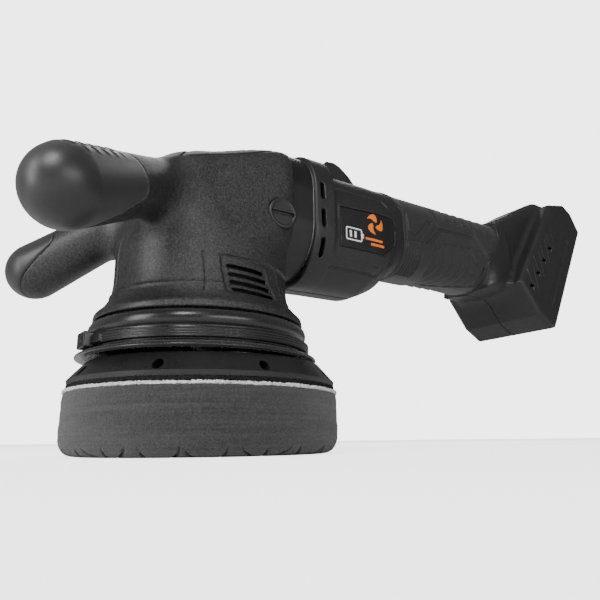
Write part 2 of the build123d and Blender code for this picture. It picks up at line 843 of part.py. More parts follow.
def battery_pocket():
    """Pocket in the rail face, open at the top, with a ledge left along each side."""
    up = rail_length / 2 + 20
    size = up - pocket_floor_u
    middle = (up + pocket_floor_u) / 2
    pocket = rail_frame * Pos(middle, 0, -pocket_depth / 2) * Box(size, 62, pocket_depth)
    ledges = []
    for side in (-1, 1):
        place = rail_frame * Pos(8.0, side * 29.5, -3.5)
        ledges.append(place * Box(72, 3.0, 3.0))
    return pocket - ledges[0] - ledges[1]


def make_motor_shells():
    outer = flange_block(flange_rear_x, collar_rear_x)
    outer = chamfer(outer.edges().group_by(Axis.X)[-1], 1.2)
    outer += housing_tube(0.0, sleeve_thickness)
    outer += foot_block()
    outer += foot_web()
    bosses = housing_bosses(outer)
    shell = outer - housing_cavity()
    shell -= barrel(35.5, flange_rear_x, collar_rear_x)
    shell += rear_bearing_web() & housing_tube(0.5)
    for boss in bosses:
        shell += boss
    for x, z, reach in motor_boss_places:
        shell -= cross_pin(2.0, -reach + 1, reach, x, z)
        shell -= cross_pin(3.6, reach - 3.2, 40, x, z)
    for x, z in foot_boss_places:
        shell -= cross_pin(2.0, -30, 34, x, z)
        shell -= cross_pin(3.6, 32.8, 45, x, z)
    for y, z in flange_screw_places:
        shell -= barrel(2.1, flange_rear_x, 73.0, y, z)
    for slot in collar_slot_cuts() + foot_vent_cuts():
        shell -= slot
    shell -= battery_pocket()
    shell -= switch_opening()
    shell -= display_frame * Pos(0, 0, -1.0) * Box(54, 34, 2.4)
    for place in button_places:
        shell -= display_frame * Pos(*place, -6) * Cylinder(button_radius + 0.5, 14)
    shell -= display_frame * Pos(*light_row, -4) * Box(5.0, 25.0, 8)
    for x_side in (-1, 1):
        side = mirror_y(badge_outline()) if x_side > 0 else badge_outline()
        shell -= side
    return split_halves(shell)


def make_grip_sleeve():
    x0, x1 = sleeve_x
    outer = extrude(cross_section(x0, grip_z, *grip_half), x1 - x0)
    half_y, half_z = grip_half
    inner = cross_section(x0, grip_z, half_y - sleeve_thickness, half_z - sleeve_thickness)
    return outer - extrude(inner, x1 - x0)


def make_housing_screws():
    screws = [boss_screw(x, z, reach - 3.2, -reach + 3.0) for x, z, reach in motor_boss_places]
    for x, z in foot_boss_places:
        screws.append(boss_screw(x, z, 32.8, -28.0))
    return screws


def badge_outline():
    """Left badge plate set 1.2 mm into the drum's flat side; rear end cut to a point."""
    outline = [(80, 148), (125, 150.5), (130, 138), (116, 122), (80, 122)]
    face = Plane.XZ * make_face(Polyline(*outline, close=True))
    half_y = drum_half[0]
    prism = extrude(face, -80)
    prism = prism if prism.center().Y < 0 else mirror_y(prism)
    skin = slab(70, 140, -half_y - 1, -half_y + 1.4, 100, 160)
    return prism & skin


def make_badges():
    left = badge_outline() & slab(70, 140, -drum_half[0] - 0.2, 0, 100, 160)
    return left, mirror_y(left)


# ---- controls ----
button_radius = 4.5
button_places = [(-14.0, -8.0), (-14.0, 8.0)]
light_row = (2.0, 0.0)


def switch_opening():
    x0, x1 = switch_x
    return slab(x0 + 6.0 - switch_travel - 0.4, x0 + 18.4, -4.3, 4.3, link_z[1] - 1, 190)


def make_power_switch():
    """Thumb slide: ribbed hump outside, stem through the slot, link bar inside."""
    x0, x1 = switch_x
    low = drum_z + drum_half[1] + 0.15
    outline = [
        (x0, low),
        (x0 + 0.5, low + 13.0),
        (x0 + 3.0, low + 16.0),
        (x0 + 8.0, low + 16.4),
        (x0 + 14.5, low + 14.0),
        (x0 + 22.0, low + 8.6),
        (x1, low),
    ]
    hump = side_plate(outline, switch_half_width)
    hump = fillet(hump.edges().filter_by(Axis.Y, reverse=True).group_by(Axis.Z)[-1], 1.5)
    for x, z in ((x0 + 9.0, low + 16.0), (x0 + 22.5, low + 8.2)):
        hump += cross_pin(1.0, -switch_half_width + 1.5, switch_half_width - 1.5, x, z)
    stem = slab(x0 + 6.0, x0 + 18.0, -4.0, 4.0, link_z[0], low + 1)
    link = slab(x0 + 6.0, 150.0, -4.0, 4.0, *link_z)
    return hump + stem + link


def make_microswitch():
    body = slab(152, 165, -5, 5, 160, 171)
    plunger = slab(154, 158, -2, 2, 171, 172.6)
    return body + plunger


def make_display_panel():
    panel = display_frame * Pos(0, 0, -1.1) * Box(53.6, 33.6, 2.0)
    for place in button_places:
        panel -= display_frame * Pos(*place, 0) * Cylinder(button_radius + 0.06, 10)
    return panel - display_frame * Pos(*light_row, 0) * Box(3.04, 22.04, 10)


def make_button(place):
    return display_frame * Pos(*place, -1.75) * Cylinder(button_radius, 4.5)


def make_light_pipe():
    return display_frame * Pos(*light_row, -2.0) * Box(3.0, 22.0, 4.0)


def make_display_board():
    board = display_frame * Pos(-3, 0, -7.4) * Box(38, 30, 1.6)
    for place in button_places:
        board += display_frame * Pos(*place, -5.8) * Box(6, 6, 1.8)
    return board


def make_control_board():
    board = slab(172, 234, -15, 15, 146, 147.6)
    for i in range(6):
        x = 178 + 9.0 * i
        board += slab(x, x + 6.5, -12, -3, 147.6, 152.0)
    for x in (182, 200, 218):
        board += Pos(x, 7.0, 147.6) * Cylinder(5.0, 14, align=(Align.CENTER, Align.CENTER, Align.MIN))
    return board


def make_terminal_block():
    block = rail_frame * Pos(pocket_floor_u + 9.0, 0, -pocket_depth + 4.6) * Box(17.9, 34, 9.0)
    for i in range(4):
        y = -12.0 + 8.0 * i
        block -= rail_frame * Pos(pocket_floor_u + 16, y, -pocket_depth + 4.6) * Box(40, 1.0, 6.4)
    return block


def make_terminals():
    blades = []
    for i in range(4):
        y = -12.0 + 8.0 * i
        place = rail_frame * Pos(pocket_floor_u + 18.0, y, -pocket_depth + 4.6)
        blades.append(place * Box(34, 0.9, 6.2))
    return blades


def wire(points, radius):
    path = Spline(*points)
    start = Plane(origin=path @ 0, z_dir=path % 0)
    return sweep(start * Circle(radius), path=path)


def make_wiring():
    """Three phase leads to the motor and two supply leads to the terminals."""
    wires = []
    for i in range(3):
        y = -3.2 + 3.2 * i
        lead = [(118.5, y, 121.8), (131, y, 122.2), (150, y, 138), (171, y, 145)]
        wires.append(wire(lead, 1.2))
    for side in (-1, 1):
        y = side * 6.0
        wires.append(wire([(235, y, 146), (252, y, 142), (272, y, 126), (288, y, 118)], 1.6))
    return wires


def make_all():
    left, right, left_grip, right_grip, palm = make_head_parts()
    save("head_shell_left", left)
    save("head_shell_right", right)
    save("horn_grip_left", left_grip)
    save("horn_grip_right", right_grip)
    save("palm_pad", palm)
    save("side_plugs", make_side_plugs())
    save("head_screws", make_head_screws())

    save("gear_case", make_gear_case())
    save("gear_case_screws", make_gear_case_screws())
    save("bearing_retainer", make_bearing_retainer())
    save("retainer_screws", make_retainer_screws())
    save("spindle_upper_bearing", Pos(0, 0, upper_bearing_z) * ball_bearing(4.0, 11.0, 7.0))
    save("spindle_lower_bearing", Pos(0, 0, lower_bearing_z) * ball_bearing(7.5, 17.5, 11.0))
    save("boot", make_boot())
    save("boot_strap", make_boot_strap())

    left, right = make_motor_shells()
    save("motor_shell_left", left)
    save("motor_shell_right", right)
    save("housing_screws", make_housing_screws())
    save("grip_sleeve", make_grip_sleeve())
    left, right = make_badges()
    save("badge_left", left)
    save("badge_right", right)
    save("stator", make_stator())
    save("motor_front_bearing", along_x(ball_bearing(5.0, 13.0, 8.0), front_bearing_x))
    save("motor_rear_bearing", along_x(ball_bearing(4.0, 11.0, 7.0), rear_bearing_x))
    save("air_baffle", make_air_baffle())
    save("sensor_board", make_sensor_board())
    save("control_board", make_control_board())
    save("microswitch", make_microswitch())
    save("display_panel", make_display_panel())
    save("display_board", make_display_board())
    save("light_pipe", make_light_pipe())
    save("terminal_block", make_terminal_block())
    save("terminals", make_terminals())
    save("wiring", make_wiring())

    save("motor_shaft", make_motor_shaft())
    save("rotor_core", make_rotor_core())
    save("magnets", make_magnets())
    save("cooling_fan", make_cooling_fan())
    save("bevel_pinion", make_bevel_pinion())

    save("drive_spindle", make_spindle())
    save("bevel_wheel", make_bevel_wheel())
    save("spindle_spacer", make_spindle_spacer())
    save("counterweight", make_counterweight())
    save("pad_bearings", make_pad_bearings())
    spacer_z = pad_bearing_z + pad_bearing_width
    spacer = disc(13.9, spacer_z, spacer_z + pad_bearing_gap, orbit_offset)
    spacer -= disc(11.5, spacer_z, spacer_z + pad_bearing_gap, orbit_offset)
    save("pad_bearing_spacer", spacer)
    ring_z = pad_bearing_z - 1.5
    save("carrier_ring", make_retaining_ring(11.5, 14.9, ring_z, ring_z + 1.0, orbit_offset, 2.0))

    save("pad_spindle", make_pad_spindle())
    ring_z = pad_bearing_top_z - 2.1
    save("spindle_ring", make_retaining_ring(5.5, 8.5, ring_z, ring_z + 0.9, orbit_offset, 1.6))
    save("backing_plate", make_backing_plate())
    save("pad_bolt", make_pad_bolt())
    washer = disc(10.8, z_plate + 3.4, z_plate + 5.0, orbit_offset)
    save("pad_washer", washer - disc(3.5, z_plate, z_plate + 6.0, orbit_offset))
    hooks = disc(74.0, z_hook, z_plate, orbit_offset)
    save("hook_disc", hooks - disc(11.2, z_hook, z_plate, orbit_offset))
    save("loop_layer", disc(75.6, z_loop, z_hook, orbit_offset))
    save("foam_pad", make_foam_pad())

    save("power_switch", make_power_switch())
    save("speed_up_button", make_button(button_places[0]))
    save("speed_down_button", make_button(button_places[1]))


make_all()
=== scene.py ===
"""Looks for a cordless dual-action polisher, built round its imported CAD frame.

Shells and soft parts are described by distance fields in millimetres and meshed as closed
skins. Gears, bearings, screws and other hard parts keep their CAD shape and get a material.
"""

import math

import bpy
import numpy as np
from mathutils import Matrix, Vector


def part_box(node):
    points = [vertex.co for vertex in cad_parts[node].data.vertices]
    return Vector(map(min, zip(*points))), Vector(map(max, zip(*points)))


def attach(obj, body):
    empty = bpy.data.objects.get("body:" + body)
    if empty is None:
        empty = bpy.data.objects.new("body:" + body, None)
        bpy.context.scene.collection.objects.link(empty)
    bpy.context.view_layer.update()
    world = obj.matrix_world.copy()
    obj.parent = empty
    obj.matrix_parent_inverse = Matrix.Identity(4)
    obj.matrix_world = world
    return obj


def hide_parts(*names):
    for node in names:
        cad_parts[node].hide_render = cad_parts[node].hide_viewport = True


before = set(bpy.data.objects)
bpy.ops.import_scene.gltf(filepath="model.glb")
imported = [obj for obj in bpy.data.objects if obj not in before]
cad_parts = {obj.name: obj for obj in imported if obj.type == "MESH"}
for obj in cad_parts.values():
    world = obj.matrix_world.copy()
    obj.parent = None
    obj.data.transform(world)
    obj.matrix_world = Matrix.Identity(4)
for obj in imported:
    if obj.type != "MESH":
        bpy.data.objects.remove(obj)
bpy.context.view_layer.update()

MM = 0.001
COARSE = 1.0
SIDES = ("left", "right")


def low(node):
    """Lowest corner of a CAD node in millimetres."""
    return np.array(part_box(node)[0]) / MM


def high(node):
    """Highest corner of a CAD node in millimetres."""
    return np.array(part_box(node)[1]) / MM


# ---- driving dimensions, mm ----
# Heights are counted from a datum LOOP_Z below the loop layer's underside.
LOOP_Z = 27.0
LIFT = low("loop_layer")[2] - LOOP_Z
PAD_X = (low("foam_pad")[0] + high("foam_pad")[0]) / 2
FOAM_R = (high("foam_pad")[0] - low("foam_pad")[0]) / 2
LOOP_R = (high("loop_layer")[0] - low("loop_layer")[0]) / 2
HOOK_R = (high("hook_disc")[0] - low("hook_disc")[0]) / 2
FOAM_Z = low("foam_pad")[2] - LIFT
HOOK_Z = low("hook_disc")[2] - LIFT
PLATE_Z = high("hook_disc")[2] - LIFT
SHELL_Z = low("head_shell_left")[2] - LIFT
WALL = 3.0
HEAD_CUT_X = 41.0
FLANGE_X = low("motor_shell_left")[0]
COLLAR_X = FLANGE_X + 15.5
MOTOR_Z = 142.0
GRIP_Z = 151.0
SLEEVE_T = 2.4

HORN_BASE = np.array([-22.0, 14.5, 146.0])
HORN_TIP = np.array([-90.0, 77.0, 103.0])
HORN_LEFT_LONGER = 4.0
HORN_RIGHT_SHORTER = 11.0
HORN_FLAT = 1.04
HORN_ROLL = 19.0
HORN_CAP = 1.05
HORN_FILLET = 15.0
SEAM_GAP = 0.15


# ---- field helpers ----
def smin(a, b, k):
    """Union with a fillet of about k."""
    h = np.clip(0.5 + 0.5 * (b - a) / k, 0, 1)
    return b + (a - b) * h - k * h * (1 - h)


def smax(a, b, k):
    """Intersection with a rounded edge of about k."""
    return -smin(-a, -b, k)


def both(*fields):
    """Intersection of several fields."""
    out = fields[0]
    for f in fields[1:]:
        out = np.maximum(out, f)
    return out


def either(*fields):
    """Union of several fields."""
    out = fields[0]
    for f in fields[1:]:
        out = np.minimum(out, f)
    return out


def recess(outer, zone, depth):
    """Lower the skin by depth wherever zone is negative."""
    return np.maximum(outer, np.minimum(-zone, outer + depth))


def ease(t):
    """0 to 1 with soft ends."""
    t = np.clip(t, 0, 1)
    return t * t * (3 - 2 * t)


def curve(t, knots, values):
    """Smooth monotone curve through a few points."""
    k = np.array(knots, float)
    v = np.array(values, float)
    slope = np.diff(v) / np.diff(k)
    tangent = np.zeros(len(k))
    total = slope[:-1] + slope[1:]
    same = slope[:-1] * slope[1:] > 0
    tangent[1:-1][same] = 2 * (slope[:-1] * slope[1:])[same] / total[same]
    tangent[0], tangent[-1] = slope[0], slope[-1]
    t = np.clip(t, k[0], k[-1])
    i = np.clip(np.searchsorted(k, t, side="right") - 1, 0, len(k) - 2)
    width = k[i + 1] - k[i]
    s = (t - k[i]) / width
    start = v[i] * (1 + 2 * s) * (1 - s) ** 2 + tangent[i] * width * s * (1 - s) ** 2
    return start + v[i + 1] * s * s * (3 - 2 * s) + tangent[i + 1] * width * s * s * (s - 1)


def rounded(u, v, half_u, half_v, corner):
    """Rounded rectangle."""
    a = np.abs(u) - half_u + corner
    b = np.abs(v) - half_v + corner
    return np.hypot(np.maximum(a, 0), np.maximum(b, 0)) + np.minimum(np.maximum(a, b), 0) - corner


def segment(u, v, a, b):
    """Distance to a straight line between two points."""
    run = (b[0] - a[0], b[1] - a[1])
    t = ((u - a[0]) * run[0] + (v - a[1]) * run[1]) / (run[0] ** 2 + run[1] ** 2)
    t = np.clip(t, 0, 1)
    return np.hypot(u - a[0] - t * run[0], v - a[1] - t * run[1])


def path(u, v, points):
    """Distance to a line through several points."""
    return either(*[segment(u, v, a, b) for a, b in zip(points, points[1:])])


def polygon(u, v, points):
    """Signed distance to a closed outline."""
    edge = path(u, v, list(points) + [points[0]])
    inside = np.zeros(np.shape(u), bool)
    for a, b in zip(points, list(points[1:]) + [points[0]]):
        if a[1] == b[1]:
            continue
        crosses = (v < a[1]) != (v < b[1])
        at = a[0] + (v - a[1]) * (b[0] - a[0]) / (b[1] - a[1])
        inside ^= crosses & (u < at)
    return np.where(inside, -edge, edge)


def groove(distance, half_width, depth):
    """Height to add to a field for a V groove along a line."""
    return depth * np.clip(1.0 - distance / half_width, 0, 1)


def scales(along, across, pitch, row):
    """Overlapping moulded scales in staggered rows, 0 to 1."""
    line = np.floor(across / row)
    t = np.mod(along / pitch + 0.5 * np.mod(line, 2), 1.0)
    side = np.abs(np.mod(across / row, 1.0) - 0.5) * 2
    return t * (1 - side**4)


# ---- meshing ----
CORNERS = np.array([[i & 1, i >> 1 & 1, i >> 2 & 1] for i in range(8)])
EDGES = [(a, b) for a in range(8) for b in range(a, 8) if bin(a ^ b).count("1") == 1]
BLOCK = 4


def sample(field, start, end, step):
    """Field on a grid; blocks far from the skin keep only their sign."""
    start = np.array(start, float)
    count = np.ceil((np.array(end) - start) / (step * BLOCK)).astype(int) + 1
    axes = [start[i] + np.arange(count[i] + 1) * step * BLOCK for i in range(3)]
    corner = field(*np.meshgrid(*axes, indexing="ij"))
    shifted = []
    for dx, dy, dz in CORNERS:
        shifted.append(corner[dx : dx + count[0], dy : dy + count[1], dz : dz + count[2]])
    reach = 1.35 * BLOCK * step
    near = (np.min(shifted, 0) < reach) & (np.max(shifted, 0) > -reach)
    sign = np.where(shifted[0] > 0, reach, -reach)
    for axis in range(3):
        near = np.repeat(near, BLOCK, axis)
        sign = np.repeat(sign, BLOCK, axis)
    at = np.nonzero(near)
    sign[near] = field(*[start[i] + at[i] * step for i in range(3)])
    return sign


def skin(field, start, end, step):
    """Closed quad mesh of a field's zero level."""
    step = step * COARSE
    value = sample(field, start, end, step)
    inside = value < 0
    n = np.array(value.shape) - 1
    picks = [tuple(slice(c[i], c[i] + n[i]) for i in range(3)) for c in CORNERS]
    count = sum(inside[p].astype(np.int8) for p in picks)
    active = (count > 0) & (count < 8)
    cells = np.argwhere(active)
    index = np.full(active.shape, -1)
    index[active] = np.arange(len(cells))
    corner = [value[tuple((cells + c).T)] for c in CORNERS]
    total = np.zeros((len(cells), 3))
    hits = np.zeros(len(cells))
    for a, b in EDGES:
        cross = (corner[a] < 0) != (corner[b] < 0)
        t = np.where(cross, corner[a] / np.where(cross, corner[a] - corner[b], 1), 0)
        total += (CORNERS[a] + t[:, None] * (CORNERS[b] - CORNERS[a])) * cross[:, None]
        hits += cross
    points = np.array(start) + (cells + total / hits[:, None]) * step
    quads = []
    unit = np.eye(3, dtype=int)
    for axis in range(3):
        first = [slice(None)] * 3
        second = [slice(None)] * 3
        first[axis] = slice(0, -1)
        second[axis] = slice(1, None)
        leaving = inside[tuple(first)]
        edge = np.argwhere(leaving != inside[tuple(second)])
        u, w = unit[(axis + 1) % 3], unit[(axis + 2) % 3]
        ring = [index[tuple((edge - m).T)] for m in (u + w, w, 0 * u, u)]
        face = np.stack(ring, 1)
        keep = leaving[tuple(edge.T)]
        face[~keep] = face[~keep][:, ::-1]
        quads.append(face)
    return settle(field, points, step), np.concatenate(quads)


def settle(field, points, step):
    """Pull the mesh points onto the field's true zero level."""
    begin = points
    h = 0.3 * step
    for _ in range(2):
        x, y, z = points.T
        d = field(x, y, z)
        slope = np.stack(
            [
                field(x + h, y, z) - field(x - h, y, z),
                field(x, y + h, z) - field(x, y - h, z),
                field(x, y, z + h) - field(x, y, z - h),
            ],
            1,
        ) / (2 * h)
        size = np.maximum((slope**2).sum(1), 0.3)
        points = points - (d / size)[:, None] * slope
        move = points - begin
        length = np.linalg.norm(move, axis=1)
        move *= np.minimum(1, 0.6 * step / np.maximum(length, 1e-9))[:, None]
        points = begin + move
    return points


def add_piece(name, points, faces, body, material, nodes=()):
    """Blender object from millimetre points, riding on a CAD body."""
    mesh = bpy.data.meshes.new(name)
    lifted = (np.asarray(points) + [0, 0, LIFT]) * MM
    mesh.from_pydata(lifted.tolist(), [], np.asarray(faces).tolist())
    mesh.update()
    mesh.shade_smooth()
    mesh.materials.append(material)
    piece = bpy.data.objects.new(name, mesh)
    bpy.context.scene.collection.objects.link(piece)
    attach(piece, body)
    if nodes:
        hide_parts(*nodes)
    return piece


def mirrored(points, faces):
    return points * [1, -1, 1], faces[:, ::-1]


def lathe(profile, turns, axis_x=0.0, shake=None):
    """Closed ring mesh from a closed (radius, height) outline; shake moves its points."""
    profile = np.array(profile, float)
    angle = np.linspace(0, 2 * math.pi, turns, endpoint=False)
    r = np.repeat(profile[None, :, 0], turns, 0)
    z = np.repeat(profile[None, :, 1], turns, 0)
    if shake is not None:
        r, z = shake(r, z, angle[:, None])
    x = axis_x + r * np.cos(angle)[:, None]
    y = r * np.sin(angle)[:, None]
    points = np.stack([x, y, z], 2).reshape(-1, 3)
    count = len(profile)
    i, j = np.meshgrid(np.arange(turns), np.arange(count), indexing="ij")
    nxt = (i + 1) % turns
    up = (j + 1) % count
    ring = [i * count + j, nxt * count + j, nxt * count + up, i * count + up]
    return points, np.stack([q.ravel() for q in ring], 1)


# ---- materials ----
def new_material(name):
    material = bpy.data.materials.new(name)
    material.use_nodes = True
    tree = material.node_tree
    return material, tree, tree.nodes["Principled BSDF"]


def noise(tree, scale, detail=4.0, rough=0.6):
    """3-D noise in object space, its scale in features per metre."""
    place = tree.nodes.new("ShaderNodeTexCoord")
    node = tree.nodes.new("ShaderNodeTexNoise")
    node.inputs["Scale"].default_value = scale
    node.inputs["Detail"].default_value = detail
    node.inputs["Roughness"].default_value = rough
    tree.links.new(place.outputs["Object"], node.inputs["Vector"])
    return node.outputs["Fac"]


def spread(tree, fac, from_range, to_range):
    node = tree.nodes.new("ShaderNodeMapRange")
    node.inputs["From Min"].default_value = from_range[0]
    node.inputs["From Max"].default_value = from_range[1]
    node.inputs["To Min"].default_value = to_range[0]
    node.inputs["To Max"].default_value = to_range[1]
    tree.links.new(fac, node.inputs["Value"])
    return node.outputs["Result"]


def two_tone(tree, fac, dark, light):
    node = tree.nodes.new("ShaderNodeMix")
    node.data_type = "RGBA"
    node.inputs["A"].default_value = (*dark, 1)
    node.inputs["B"].default_value = (*light, 1)
    tree.links.new(fac, node.inputs["Factor"])
    return node.outputs["Result"]


def bump(tree, shader, fac, height):
    """Bump of a given height in millimetres."""
    node = tree.nodes.new("ShaderNodeBump")
    node.inputs["Distance"].default_value = height * MM
    node.inputs["Strength"].default_value = 1.0
    tree.links.new(fac, node.inputs["Height"])
    tree.links.new(node.outputs["Normal"], shader.inputs["Normal"])
    return node


def surface(name, dark, light, rough, grain, height, metal=0.0, coat=0.0, sheen=0.0):
    """Material with a fine grain (size in mm) in two tones and a patchy gloss."""
    material, tree, shader = new_material(name)
    drift = noise(tree, 90.0, 3.0)
    fine = noise(tree, 1000.0 / grain, 3.0, 0.7)
    tone = spread(tree, fine, (0.35, 0.65), (0.0, 1.0))
    tree.links.new(two_tone(tree, tone, dark, light), shader.inputs["Base Color"])
    tree.links.new(spread(tree, drift, (0.3, 0.7), rough), shader.inputs["Roughness"])
    bump(tree, shader, fine, height)
    shader.inputs["Metallic"].default_value = metal
    shader.inputs["Coat Weight"].default_value = coat
    shader.inputs["Coat Roughness"].default_value = 0.15
    shader.inputs["Sheen Weight"].default_value = sheen
    return material


def grey(level):
    return (level, level, level)


def shell_material():
    """Spark-textured black plastic whose grain fades out along the horns."""
    material, tree, shader = new_material("shell_plastic")
    fine = noise(tree, 950.0, 3.0, 0.8)
    broad = noise(tree, 60.0, 3.0)
    place = tree.nodes.new("ShaderNodeTexCoord")
    split = tree.nodes.new("ShaderNodeSeparateXYZ")
    tree.links.new(place.outputs["Object"], split.inputs["Vector"])
    body = spread(tree, split.outputs["X"], (-0.046, -0.030), (0.12, 1.0))
    speck = spread(tree, fine, (0.42, 0.68), (0.0, 1.0))
    tree.links.new(two_tone(tree, speck, grey(0.006), grey(0.055)), shader.inputs["Base Color"])
    tree.links.new(spread(tree, broad, (0.3, 0.7), (0.38, 0.48)), shader.inputs["Roughness"])
    node = bump(tree, shader, fine, 0.50)
    tree.links.new(body, node.inputs["Strength"])
    return material


def foam_material():
    """Open-cell foam: fine pores, coarse mottling and faint slicing lines."""
    material, tree, shader = new_material("foam")
    pores = noise(tree, 1050.0, 5.0, 0.85)
    cloud = noise(tree, 120.0, 4.0)
    place = tree.nodes.new("ShaderNodeTexCoord")
    stretch = tree.nodes.new("ShaderNodeMapping")
    stretch.inputs["Scale"].default_value = (12.0, 12.0, 700.0)
    lines = tree.nodes.new("ShaderNodeTexNoise")
    lines.inputs["Scale"].default_value = 1.0
    lines.inputs["Detail"].default_value = 2.0
    tree.links.new(place.outputs["Object"], stretch.inputs["Vector"])
    tree.links.new(stretch.outputs["Vector"], lines.inputs["Vector"])
    mix = tree.nodes.new("ShaderNodeMath")
    mix.operation = "MULTIPLY_ADD"
    mix.inputs[1].default_value = 0.35
    tree.links.new(lines.outputs["Fac"], mix.inputs[0])
    tree.links.new(pores, mix.inputs[2])
    tone = spread(tree, mix.outputs["Value"], (0.55, 0.88), (0.0, 1.0))
    tree.links.new(two_tone(tree, tone, grey(0.003), grey(0.055)), shader.inputs["Base Color"])
    tree.links.new(spread(tree, cloud, (0.3, 0.7), (0.85, 1.0)), shader.inputs["Roughness"])
    shader.inputs["Sheen Weight"].default_value = 0.25
    shader.inputs["Sheen Roughness"].default_value = 0.6
    bump(tree, shader, mix.outputs["Value"], 0.5)
    return material


def flange_painted_highlights():
    """Gloss black casting with a painted highlight: a bright metallic band along each end edge stands
    for the light these edges catch.
    """
    material = surface("gloss_black", grey(0.004), grey(0.006), (0.34, 0.44), 1.6, 0.02, coat=0.1)
    tree = material.node_tree
    shader = tree.nodes["Principled BSDF"]
    place = tree.nodes.new("ShaderNodeTexCoord")
    split = tree.nodes.new("ShaderNodeSeparateXYZ")
    tree.links.new(place.outputs["Object"], split.inputs["Vector"])
    middle = (HEAD_CUT_X + FLANGE_X) / 2 * MM
    reach = (FLANGE_X - HEAD_CUT_X) / 2 * MM
    away = tree.nodes.new("ShaderNodeMath")
    away.operation = "SUBTRACT"
    away.inputs[1].default_value = middle
    tree.links.new(split.outputs["X"], away.inputs[0])
    size = tree.nodes.new("ShaderNodeMath")
    size.operation = "ABSOLUTE"
    tree.links.new(away.outputs["Value"], size.inputs[0])
    # painted highlight: bright metallic band within 0.8 mm of each end of the flange
    edge = spread(tree, size.outputs["Value"], (reach - 0.8 * MM, reach - 0.7 * MM), (0.0, 1.0))
    tree.links.new(two_tone(tree, edge, grey(0.005), grey(0.45)), shader.inputs["Base Color"])
    tree.links.new(edge, shader.inputs["Metallic"])
    return material


# Dark and light tone, roughness range, grain and bump height in mm, and metal where it is one
SURFACES = {
    "housing_plastic": (grey(0.010), grey(0.017), (0.40, 0.50), 0.8, 0.05),
    "plug_plastic": (grey(0.012), grey(0.018), (0.36, 0.46), 0.9, 0.05),
    "horn_rubber": (grey(0.012), grey(0.016), (0.34, 0.44), 1.2, 0.03),
    "palm_rubber": (grey(0.014), grey(0.022), (0.45, 0.55), 0.7, 0.06),
    "grip_rubber": (grey(0.005), grey(0.010), (0.46, 0.58), 0.7, 0.06),
    "boot_rubber": (grey(0.010), grey(0.016), (0.22, 0.32), 1.5, 0.03),
    "strap_plastic": (grey(0.007), grey(0.012), (0.26, 0.36), 1.0, 0.03),
    "zinc_steel": ((0.36, 0.35, 0.32), (0.55, 0.54, 0.50), (0.22, 0.38), 0.6, 0.02, 1.0),
    "bearing_steel": (grey(0.45), grey(0.62), (0.14, 0.24), 0.5, 0.01, 1.0),
    "machined_steel": (grey(0.36), grey(0.52), (0.20, 0.34), 0.4, 0.02, 1.0),
    "gear_steel": ((0.20, 0.19, 0.18), (0.36, 0.34, 0.32), (0.24, 0.40), 0.5, 0.02, 1.0),
    "spring_steel": (grey(0.12), grey(0.22), (0.28, 0.40), 0.5, 0.02, 1.0),
    "cast_weight": (grey(0.16), grey(0.30), (0.45, 0.62), 0.9, 0.09, 1.0),
    "retainer_aluminium": (grey(0.50), grey(0.66), (0.26, 0.40), 0.6, 0.03, 1.0),
    "stator_iron": ((0.10, 0.08, 0.07), (0.30, 0.17, 0.09), (0.30, 0.50), 0.7, 0.06, 0.7),
    "rotor_iron": (grey(0.14), grey(0.26), (0.30, 0.45), 0.5, 0.04, 1.0),
    "magnet": (grey(0.20), grey(0.34), (0.18, 0.30), 0.8, 0.02, 1.0),
    "fan_plastic": (grey(0.03), grey(0.05), (0.40, 0.52), 0.8, 0.05),
    "inner_plastic": (grey(0.025), grey(0.04), (0.45, 0.55), 0.8, 0.05),
    "circuit_board": ((0.004, 0.05, 0.02), (0.01, 0.11, 0.04), (0.28, 0.42), 0.8, 0.02),
    "badge_black": (grey(0.004), grey(0.010), (0.34, 0.44), 0.6, 0.03),
    "display_gloss": (grey(0.006), grey(0.012), (0.10, 0.18), 2.0, 0.005),
    "button_plastic": (grey(0.03), grey(0.045), (0.30, 0.42), 0.9, 0.03),
    "light_pipe": ((0.40, 0.42, 0.44), (0.55, 0.57, 0.60), (0.18, 0.28), 1.5, 0.01),
    "contact_brass": ((0.55, 0.36, 0.12), (0.75, 0.52, 0.2), (0.18, 0.3), 0.6, 0.01, 1.0),
    "wire_sheath": ((0.20, 0.01, 0.01), (0.32, 0.02, 0.015), (0.35, 0.5), 1.0, 0.03),
    "switch_plastic": (grey(0.012), grey(0.020), (0.30, 0.42), 0.9, 0.04),
    "plate_plastic": (grey(0.010), grey(0.018), (0.26, 0.34), 0.9, 0.03),
    "hook_fabric": (grey(0.003), grey(0.012), (0.9, 1.0), 0.5, 0.5),
    "loop_fabric": (grey(0.70), grey(0.95), (0.9, 1.0), 0.35, 0.35),
    "orange_print": ((0.85, 0.16, 0.004), (0.95, 0.20, 0.006), (0.4, 0.5), 0.8, 0.01),
    "white_print": (grey(0.72), grey(0.85), (0.4, 0.5), 0.8, 0.01),
}
# Clear coat or soft fabric sheen on a few of them
SHINE = {
    "horn_rubber": {"sheen": 0.15},
    "palm_rubber": {"sheen": 0.2},
    "grip_rubber": {"sheen": 0.15},
    "boot_rubber": {"sheen": 0.1},
    "display_gloss": {"coat": 0.6},
    "loop_fabric": {"sheen": 0.4},
}
MATERIALS = {name: surface(name, *spec, **SHINE.get(name, {})) for name, spec in SURFACES.items()}
MATERIALS["shell_plastic"] = shell_material()
MATERIALS["foam"] = foam_material()
# gloss black flange with painted highlights along its end edges
MATERIALS["gloss_black"] = flange_painted_highlights()


